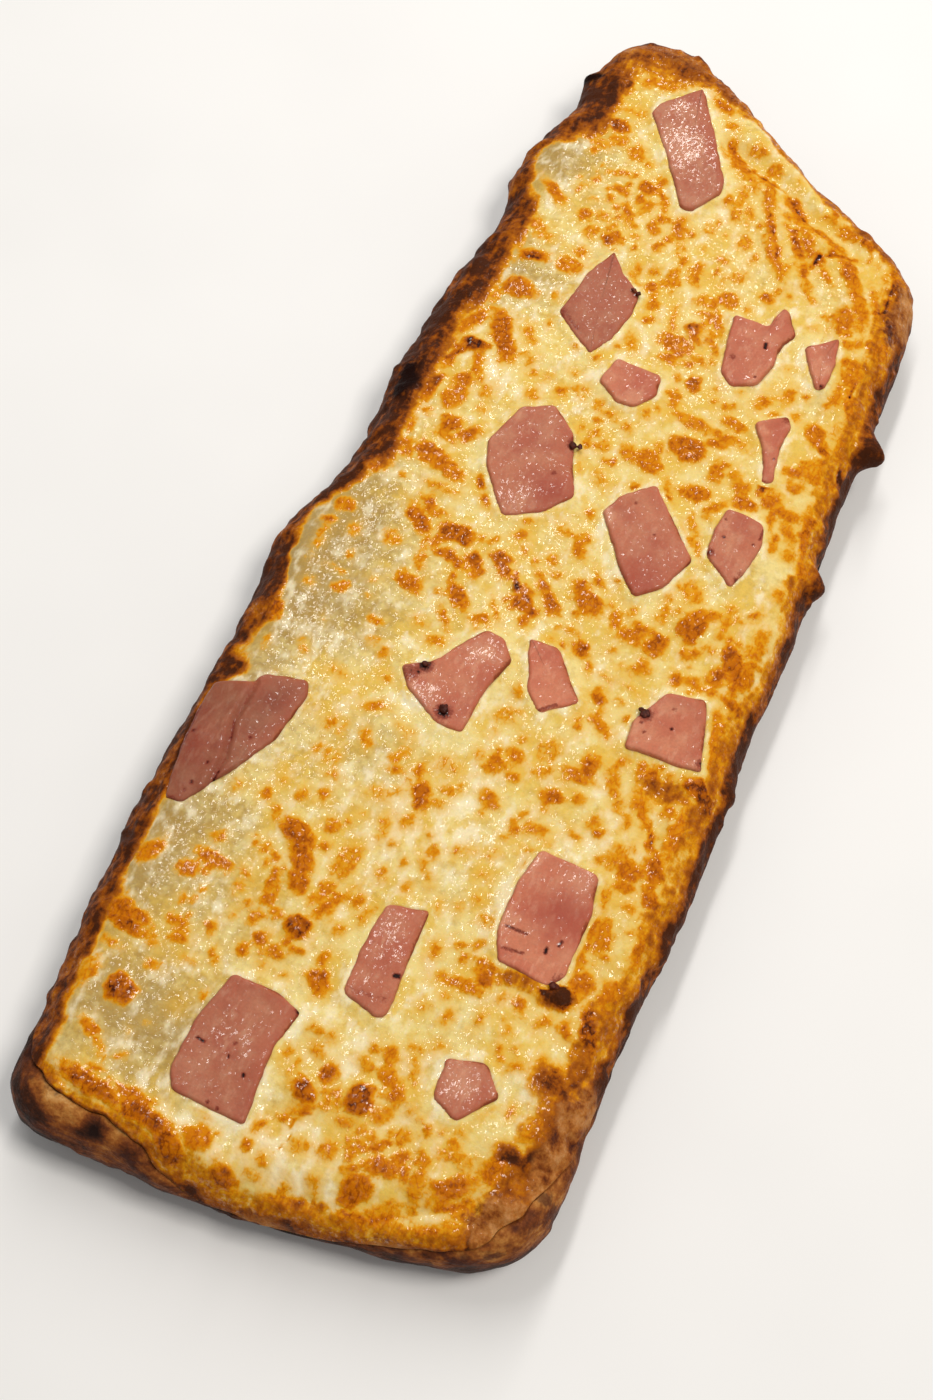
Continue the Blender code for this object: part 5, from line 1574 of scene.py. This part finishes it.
NEAR_BLISTERS: Table = [
    (-33, -102.4, 2.6, 2, 60, 0.42), (-31, -101, 2.3, 1.5, 85, 0.36), (-31.5, -107, 5.4, 3.2, -32, 0.48),
    (-30, -109.5, 2.9, 1.6, 10, 0.66), (-22.5, -110, 2.9, 1.9, -60, 0.43),
    (-26.5, -112.5, 2.4, 1.2, 0, 0.25), (-18.4, -106.8, 2.4, 2.1, 0, 0.66),
    (-16.5, -103.6, 3.3, 2.9, 30, 0.66), (-13, -105, 4.3, 2.4, 0, 0.54), (-14, -108, 1.8, 1.5, 0, 0.3),
    (-9, -108, 1.1, 1, 0, 0.38), (-9.5, -102.8, 2.2, 1.9, 0, 0.54), (-12, -102, 6, 2, 88, 0.54),
    (-4, -102.4, 3.3, 2.3, 80, 0.6), (-3, -107, 5.6, 3.4, -52, 0.66), (-19, -100.4, 4, 2.8, 80, 0.48),
    (-41, -108.4, 10, 3.2, -14, 0.82), (-40, -111, 11, 2.8, -10, 0.9), (-41, -115.4, 5, 2, -10, 0.52),
    (-42, -122, 6.4, 3.4, 80, 0.48), (-31.5, -116, 3.3, 2.3, 0, 0.42), (-44, -128, 8, 3.4, 82, 0.6),
    (-34.8, -122.6, 6.2, 5.2, -30, 0.9), (-36.3, -131, 4.9, 2.9, -20, 0.74),
    (-33, -133.4, 5.4, 1.8, -55, 0.42), (-27.3, -126, 1.6, 1.2, 0, 0.42), (-29.8, -129, 1.5, 1, 80, 0.42),
    (-29, -133.6, 1.6, 1.4, 0, 0.48), (-31, -140.4, 14, 3, -12, 0.85), (-20, -141.4, 12, 3.8, -14, 0.85),
    (-14, -144.4, 7, 4.4, -30, 0.8), (-10, -141, 5.4, 4.2, 30, 0.62), (-24, -138.8, 8, 2.3, -5, 0.74),
    (-7.5, -138.7, 1.3, 1, 0, 0.54), (-3, -145, 6.6, 3.2, -25, 0.74), (-32, -137.4, 3.2, 1.2, 0, 0.66),
    (16.8, -103, 1.7, 1.6, 0, 0.3), (21.7, -109, 1.7, 1.3, 30, 0.36), (18.3, -111.2, 2.2, 1.6, 0, 0.36),
    (36, -107, 2.6, 2, 30, 0.44), (34.5, -104.7, 1.7, 1.5, 0, 0.3), (2.5, -118.4, 3.8, 1.9, -35, 0.37),
    (11, -117, 2.6, 1.6, -10, 0.3), (14.5, -114, 3.7, 2.9, -60, 0.54), (16, -117.4, 4.6, 3.2, -50, 0.66),
    (18.6, -120, 5.4, 2.7, -78, 0.54), (17.6, -124.4, 4.4, 2.9, 20, 0.48),
    (19.6, -115, 4.4, 1.5, -60, 0.26), (13, -123.2, 6.2, 5, 85, 0.86), (6, -121.5, 4.4, 2.5, -76, 0.72),
    (3, -126, 5, 3.4, -30, 0.84), (4.6, -128.6, 3.4, 2, 40, 0.6), (8.5, -125.4, 4.2, 3.8, 0, 0.36),
    (12.5, -128, 3.8, 1.9, 0, 0.54), (2.5, -131, 3.9, 1.8, 20, 0.42), (-1, -134, 2.3, 1.5, 0, 0.48),
    (19.8, -129.4, 3.7, 1.6, 75, 0.8), (22.5, -126.4, 4, 2.9, 20, 0.3), (24.5, -122.4, 1.7, 1.4, 0, 0.25),
    (26, -124.5, 1.2, 1, 0, 0.3), (15.5, -132, 3.9, 2.3, -60, 0.48), (17.4, -135, 3.4, 1.5, 15, 0.66),
    (21.4, -133, 6.6, 2.8, 15, 0.66), (24, -131, 5, 2.7, 80, 0.46), (27.5, -129, 3.4, 2.9, 0, 0.46),
    (28.4, -133.4, 7.4, 2.7, -76, 0.42), (33, -126.4, 6, 2.8, 5, 0.32), (33.4, -131.4, 7.6, 3, 25, 0.72),
    (34, -134, 6.4, 2.8, 15, 0.48), (40, -125.4, 6.4, 4.8, 60, 0.6), (36.4, -129, 4.2, 2.4, 10, 0.52),
    (11.5, -134, 3.8, 2.8, 60, 0.36), (7.5, -135, 4, 2.9, 0, 0.3), (19, -138, 6.4, 4.2, 70, 0.72),
    (7.5, -143, 3.2, 2.7, 70, 0.42), (7.5, -146, 2.3, 1.9, 0, 0.32), (1.5, -143, 3.3, 1.9, 0, 0.32),
    (25, -140, 7, 4.4, 40, 0.42), (28.5, -141, 2.7, 2, 0, 0.66), (33, -139.4, 6.4, 1.9, 12, 0.66),
    (36.5, -137, 3.6, 2.3, 20, 0.54), (39.6, -136, 3.3, 1.3, 80, 0.9), (20.4, -143, 6.4, 3.4, 10, 0.54),
    (42.4, -107, 5.4, 3.6, 70, 0.88), (44.4, -116.6, 6.6, 4.4, 62, 0.54), (40.6, -121.6, 3.6, 2.6, 20, 0.9),
    (46, -102, 9, 3.4, 72, 0.56), (45.8, -112.6, 4, 1.2, 85, 0.8),
]
MARKS: Table = FAR_BLISTERS + UPPER_BLISTERS + MIDDLE_BLISTERS + LOWER_BLISTERS + NEAR_BLISTERS

# Where seeded blisters and flecks are common: (x, y, reach across, reach along, share browned).
LARGE_ZONES: Table = [
    (45, 60, 8, 40, 0.35), (44, -30, 8, 60, 0.3), (-42, 20, 6, 60, 0.3), (15, -138, 30, 8, 0.3),
]
SMALL_ZONES: Table = [
    (5, 60, 30, 60, 0.2), (12, -10, 30, 30, 0.18), (0, -70, 34, 30, 0.22), (-20, -95, 16, 18, 0.25),
    (20, -120, 24, 20, 0.25), (40, 0, 9, 120, 0.2), (-10, 90, 24, 24, 0.25),
]

# Corners of each piece of ham, going round, from the far end to the near end.
HAM_OUTLINES: list = [
    [(-15.5, 130), (-9, 119), (-1, 104), (-0.5, 100.5), (-5, 93), (-7.5, 93), (-17, 108),
     (-24, 118), (-23, 121.5)],
    [(-16.5, 75), (-12.5, 70), (-7, 66), (-6.5, 60), (-8, 52), (-11, 46), (-14.5, 48.5),
     (-21.5, 54), (-20, 66)],
    [(-5, 47), (5.5, 46.5), (6.3, 41), (3, 36.5), (-1, 36), (-6.5, 40)],
    [(14, 69), (22, 69), (23.3, 75.5), (25, 75), (28.5, 69), (26.5, 65), (26.5, 58), (25, 52.5),
     (20, 50), (16.5, 53)],
    [(31, 67), (37.5, 71.5), (38.7, 65), (38.7, 58), (37, 56.5), (34, 61.5)],
    [(28, 43), (34, 47.5), (35.5, 45), (35, 39), (36.5, 30), (34.5, 29), (32, 36.5)],
    [(-19, 26.5), (-12.5, 30), (-6, 24.5), (-2.5, 15), (0, 10), (-5, 3.5), (-12, -0.5), (-15, 3),
     (-20, 10), (-22, 16)],
    [(14.5, 19.5), (28, 5), (24.5, -3.5), (20, -7.5), (16.5, -4.5), (6.5, 9), (8.5, 13.5)],
    [(30, 20), (38.5, 19), (39.5, 14), (38.5, 6), (37, 2), (30, 7.5), (29.3, 13)],
    [(-4, -27), (0, -27.5), (3.2, -31.5), (1, -40), (0.5, -50), (-5, -50), (-13, -45.5),
     (-16.5, -41), (-11, -38), (-7.5, -32)],
    [(4.3, -25), (11, -25), (15, -30), (19, -34.5), (12.5, -40), (8.5, -36)],
    [(34, -25.5), (41.5, -24), (43, -28), (46, -39), (30.5, -40), (30, -34)],
    [(-48.7, -59), (-41, -57), (-39.5, -54), (-31.5, -52), (-30, -55), (-31.5, -66), (-36, -75),
     (-42, -85.5), (-45.5, -85.5), (-47.5, -77), (-49, -66)],
    [(24, -66.5), (36, -67), (37.5, -74), (37.5, -88), (35.5, -91), (25, -90), (22.5, -84),
     (22.5, -74)],
    [(2, -88), (10, -86), (10.5, -98), (11, -108), (9.5, -109), (2, -107), (1.3, -98)],
    [(-17.5, -112), (-9, -111.5), (-3, -113.5), (-5, -121), (-3.5, -136), (-18, -135.5),
     (-20, -132), (-20, -122)],
    [(24, -110.5), (31, -108.5), (35.5, -113.5), (30, -120.5), (24.5, -118)],
]
# Scorched places on the ham, by piece number: (x, y, radius, strength).
SCORCH: dict[int, Table] = {
    2: [(-20.5, 54, 1.6, 0.5), (-7.2, 65.5, 1.2, 0.9)],
    6: [(34, 46.5, 1.6, 0.5), (35, 28.5, 1.6, 0.45)],
    7: [(-4.8, 22, 1.8, 0.9)],
    9: [(30.5, 8, 1.0, 0.7), (37.5, 4, 0.9, 0.6)],
    10: [(-12, -39.5, 1.7, 1.0), (-4.5, -47.5, 1.7, 1.0), (-14, -42, 2.4, 0.55)],
    11: [(4.3, -25, 1.4, 0.4)],
    12: [(31.8, -32, 1.4, 0.9), (45.5, -37.5, 1.3, 0.7)],
    13: [(-44, -86.5, 1.8, 0.6)],
    14: [(37, -89.5, 1.8, 0.6)],
    16: [(-3.5, -113.5, 1.0, 0.9)],
}
# Lines and pits in the ham: (x, y, x, y, half width, strength), a pit having both ends alike.
HAM_MARKS: Table = [
    (-47, -70.7, -47, -70.7, 0.5, 0.9), (-40.5, -66, -39.2, -70, 0.3, 0.6), (-36, -68, -36, -68, 0.4, 0.8),
    (-41, -76.2, -41, -76.2, 0.45, 0.9), (-38.3, -77, -38.5, -81.5, 0.35, 0.8),
    (-42, -81, -42, -81, 0.5, 0.9), (-42.5, -83, -42.5, -83, 0.4, 0.8), (-48.5, -65, -47.4, -78, 0.4, 0.55),
    (24, -83.3, 28, -83.3, 0.35, 0.75), (25, -87.5, 29, -87, 0.35, 0.7), (34.5, -82, 34.3, -83, 0.4, 0.8),
    (32.5, -84.4, 32.5, -85.2, 0.4, 1.0), (9.3, -100.5, 10, -100.3, 0.5, 1.1),
    (3, -106, 9.5, -105.4, 0.9, 0.3), (-18, -125.2, -16.6, -125.4, 0.35, 0.9),
    (-11.5, -123.6, -11.2, -123.4, 0.4, 0.6), (-11.4, -126, -11.3, -126.2, 0.35, 0.8),
    (-7.4, -128, -7.4, -128.2, 0.45, 1.0), (-11, -134.9, -11, -134.9, 0.4, 0.8),
    (-9, -135.2, -9, -135.2, 0.4, 0.8), (36.5, -28.5, 36.5, -28.5, 0.7, 0.45),
    (37.5, -32.8, 37.5, -32.8, 0.45, 0.9), (31.6, -34, 31.6, -34, 0.4, 0.8),
    (32.8, -35.6, 32.8, -35.6, 0.4, 0.8), (30.7, 16.8, 30.7, 16.8, 0.4, 0.7),
    (31.8, 12.5, 31.8, 12.5, 0.45, 0.8), (37.9, 13.3, 37.9, 13.3, 0.4, 0.7),
    (37.8, 5.8, 37.8, 5.8, 0.9, 0.4), (38.7, 17.5, 38.8, 15, 0.4, 0.6), (12.3, 13.3, 12.3, 13.3, 0.4, 0.8),
    (18.5, 7.5, 18.5, 7.5, 0.4, 0.6), (26, -1, 28, 5, 0.45, 0.5), (-6, 13.5, -6.2, 13.2, 0.6, 0.5),
    (23.2, 63.8, 23.4, 62.6, 0.45, 1.1), (17.6, 57.5, 17.9, 57.2, 0.8, 0.5), (24, 54, 24, 54, 0.45, 0.7),
    (31.8, 67, 32.2, 67.4, 0.6, 0.5), (37.9, 57.7, 37.9, 57.7, 0.55, 0.8),
    (34.8, 35.3, 34.8, 35.3, 0.4, 0.7), (32.8, 33.9, 32.8, 33.9, 0.4, 0.7),
    (-12.6, -41.3, -12.4, -41.6, 0.5, 0.9), (12, -39.8, 15, -37, 0.4, 0.6), (-20, 54, -16, 51, 0.6, 0.45),
    (-22.8, 121.5, -15.8, 130, 0.35, 0.4),
]
# How light each piece is, by number.
TONES: dict[int, float] = {
    1: 0.75, 2: 0.7, 7: 0.8, 8: 0.84, 9: 0.86, 10: 0.92, 11: 1.0, 13: 0.52, 14: 0.98, 15: 0.85,
    16: 0.74, 17: 0.84,
}
USUAL_TONE = 0.93
# Wet places on the ham, given a coat and a painted sheen of paler colour: (x, y, radius, strength).
WET_SHEEN: Table = [
    (-14, 110, 7, 1.0), (-18, 122, 3, 0.8), (33, -69, 4, 1.0), (23, -70, 3, 1.0), (23, -82, 3, 1.0),
    (28, -114, 4, 1.0), (5, -93, 4, 0.7), (-3, -32, 4, 0.9), (-9, -46, 3.5, 1.0), (-10, 4, 4, 0.7),
    (8, 8, 2.5, 1.0), (35, 62, 3, 0.4), (-12, -122, 5, 0.3), (-42, -70, 5, 0.4), (32, 10, 3, 0.6),
]
# Redder meat on any piece: (x, y, radius, strength).
ROSY: Table = [
    (19, -3, 6.5, 0.8), (32.5, -77, 6, 0.9), (-5, 8, 5, 0.8), (-8, -47, 4, 0.4), (16, 58, 4, 0.5),
    (-46, -72, 6, 0.4), (6, -107.5, 3.5, 0.6), (12, 10, 3, 0.3), (-4, -130, 4, 0.4), (-14, 60, 5, 0.4),
    (4, -44, 5, 0.35), (27, -118, 4, 0.3), (-12, 20, 4, 0.2),
]
# Fold lines on the ham, by piece number, dented and darkened as painted shadow.
GROOVES: dict[int, list] = {13: [(-40.3, -57), (-40.5, -66), (-38.5, -74), (-39, -80)]}
# Burnt bits: (x, y, lift, size, bake).
BITS: Table = [
    (-7.2, 65.4, 1.5, 0.75, 0.85), (-8.5, 65.9, 1.5, 0.5, 0.75), (-5.0, 21.2, 1.6, 0.85, 0.95),
    (-3.6, 21.6, 1.3, 0.65, 0.9), (31.6, -32.0, 1.6, 0.9, 0.95), (30.5, -31.2, 1.3, 0.6, 0.85),
    (-4.6, -47.0, 1.4, 0.95, 1.0), (-12.0, -39.4, 1.4, 0.65, 0.95), (36.4, -90.6, 1.2, 0.9, 0.85),
    (38.4, -91.4, 1.0, 0.7, 0.8),
]


def main() -> None:
    """Build the pieces in order and report each one."""
    logging.basicConfig(level=logging.INFO, format="%(message)s")
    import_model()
    outline = Outline()
    form = TopForm(outline)
    shapes = [HamShape(corners) for corners in HAM_OUTLINES]
    topping = Topping(shapes)
    browning = Browning(MARKS, LARGE_ZONES, SMALL_ZONES)
    bake = EdgeBake(
        left=[(-152, 0.84, 7), (-130, 0.84, 6), (-112, 0.86, 7.5), (-100, 0.86, 6.5), (-85, 0.88, 7),
              (-70, 0.84, 5), (-55, 0.88, 6), (-40, 0.9, 7), (-28, 0.86, 5.5), (-15, 0.88, 6),
              (-5, 0.92, 8), (3, 0.92, 10), (12, 0.95, 10.5), (25, 0.98, 11), (50, 0.96, 11.5),
              (66, 0.94, 12), (76, 0.9, 9), (85, 0.92, 7), (95, 0.88, 7), (104, 0.86, 10),
              (112, 0.9, 12), (125, 0.9, 12), (134, 0.78, 10), (150, 0.72, 8)],
        right=[(-152, 0.74, 12), (-125, 0.7, 11), (-100, 0.6, 8), (-70, 0.5, 6), (-40, 0.5, 7),
               (-15, 0.48, 5), (10, 0.5, 5), (40, 0.46, 7), (75, 0.46, 8), (105, 0.52, 10)],
        near=[(-52, 0.72, 11), (-30, 0.56, 9), (-10, 0.5, 6), (20, 0.48, 6), (52, 0.7, 11)],
        far=[(-50, 0.82, 18), (-30, 0.68, 17), (-20, 0.68, 13), (-10, 0.66, 9), (0, 0.6, 7),
             (20, 0.6, 7), (52, 0.72, 9)])
    bread = Flatbread(form, browning, topping, bake)
    cheese_look = CheeseFinish().material()
    crust_look = CrustFinish().material()
    ham_look = HamFinish().material()
    crumb_look = CrumbFinish().material()

    made: list[tuple[bpy.types.Object, str, str | None]] = []
    made.append((bread.bread(crust_look), "crust", Piece.BREAD.value))
    made.append((bread.cheese(cheese_look), "cheese", Piece.CHEESE.value))
    for number, shape in enumerate(shapes, start=1):
        name = f"ham_{number:02d}"
        piece = HamPiece(name, shape, form, topping, 100 + 5 * number,
                         SCORCH.get(number, []), GROOVES.get(number, []), TONES.get(number, USUAL_TONE))
        made.append((piece.build(ham_look), "ham", name))
    made.append((Crumbs(form, BITS).build(crumb_look), "cheese", None))
    for thing, slot, node in made:
        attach(thing, "root")
        if node:
            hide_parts(node)
        LOG.info("%s: %d faces", thing.name, len(thing.data.polygons))
    Studio().build()


if __name__ == "__main__":
    main()
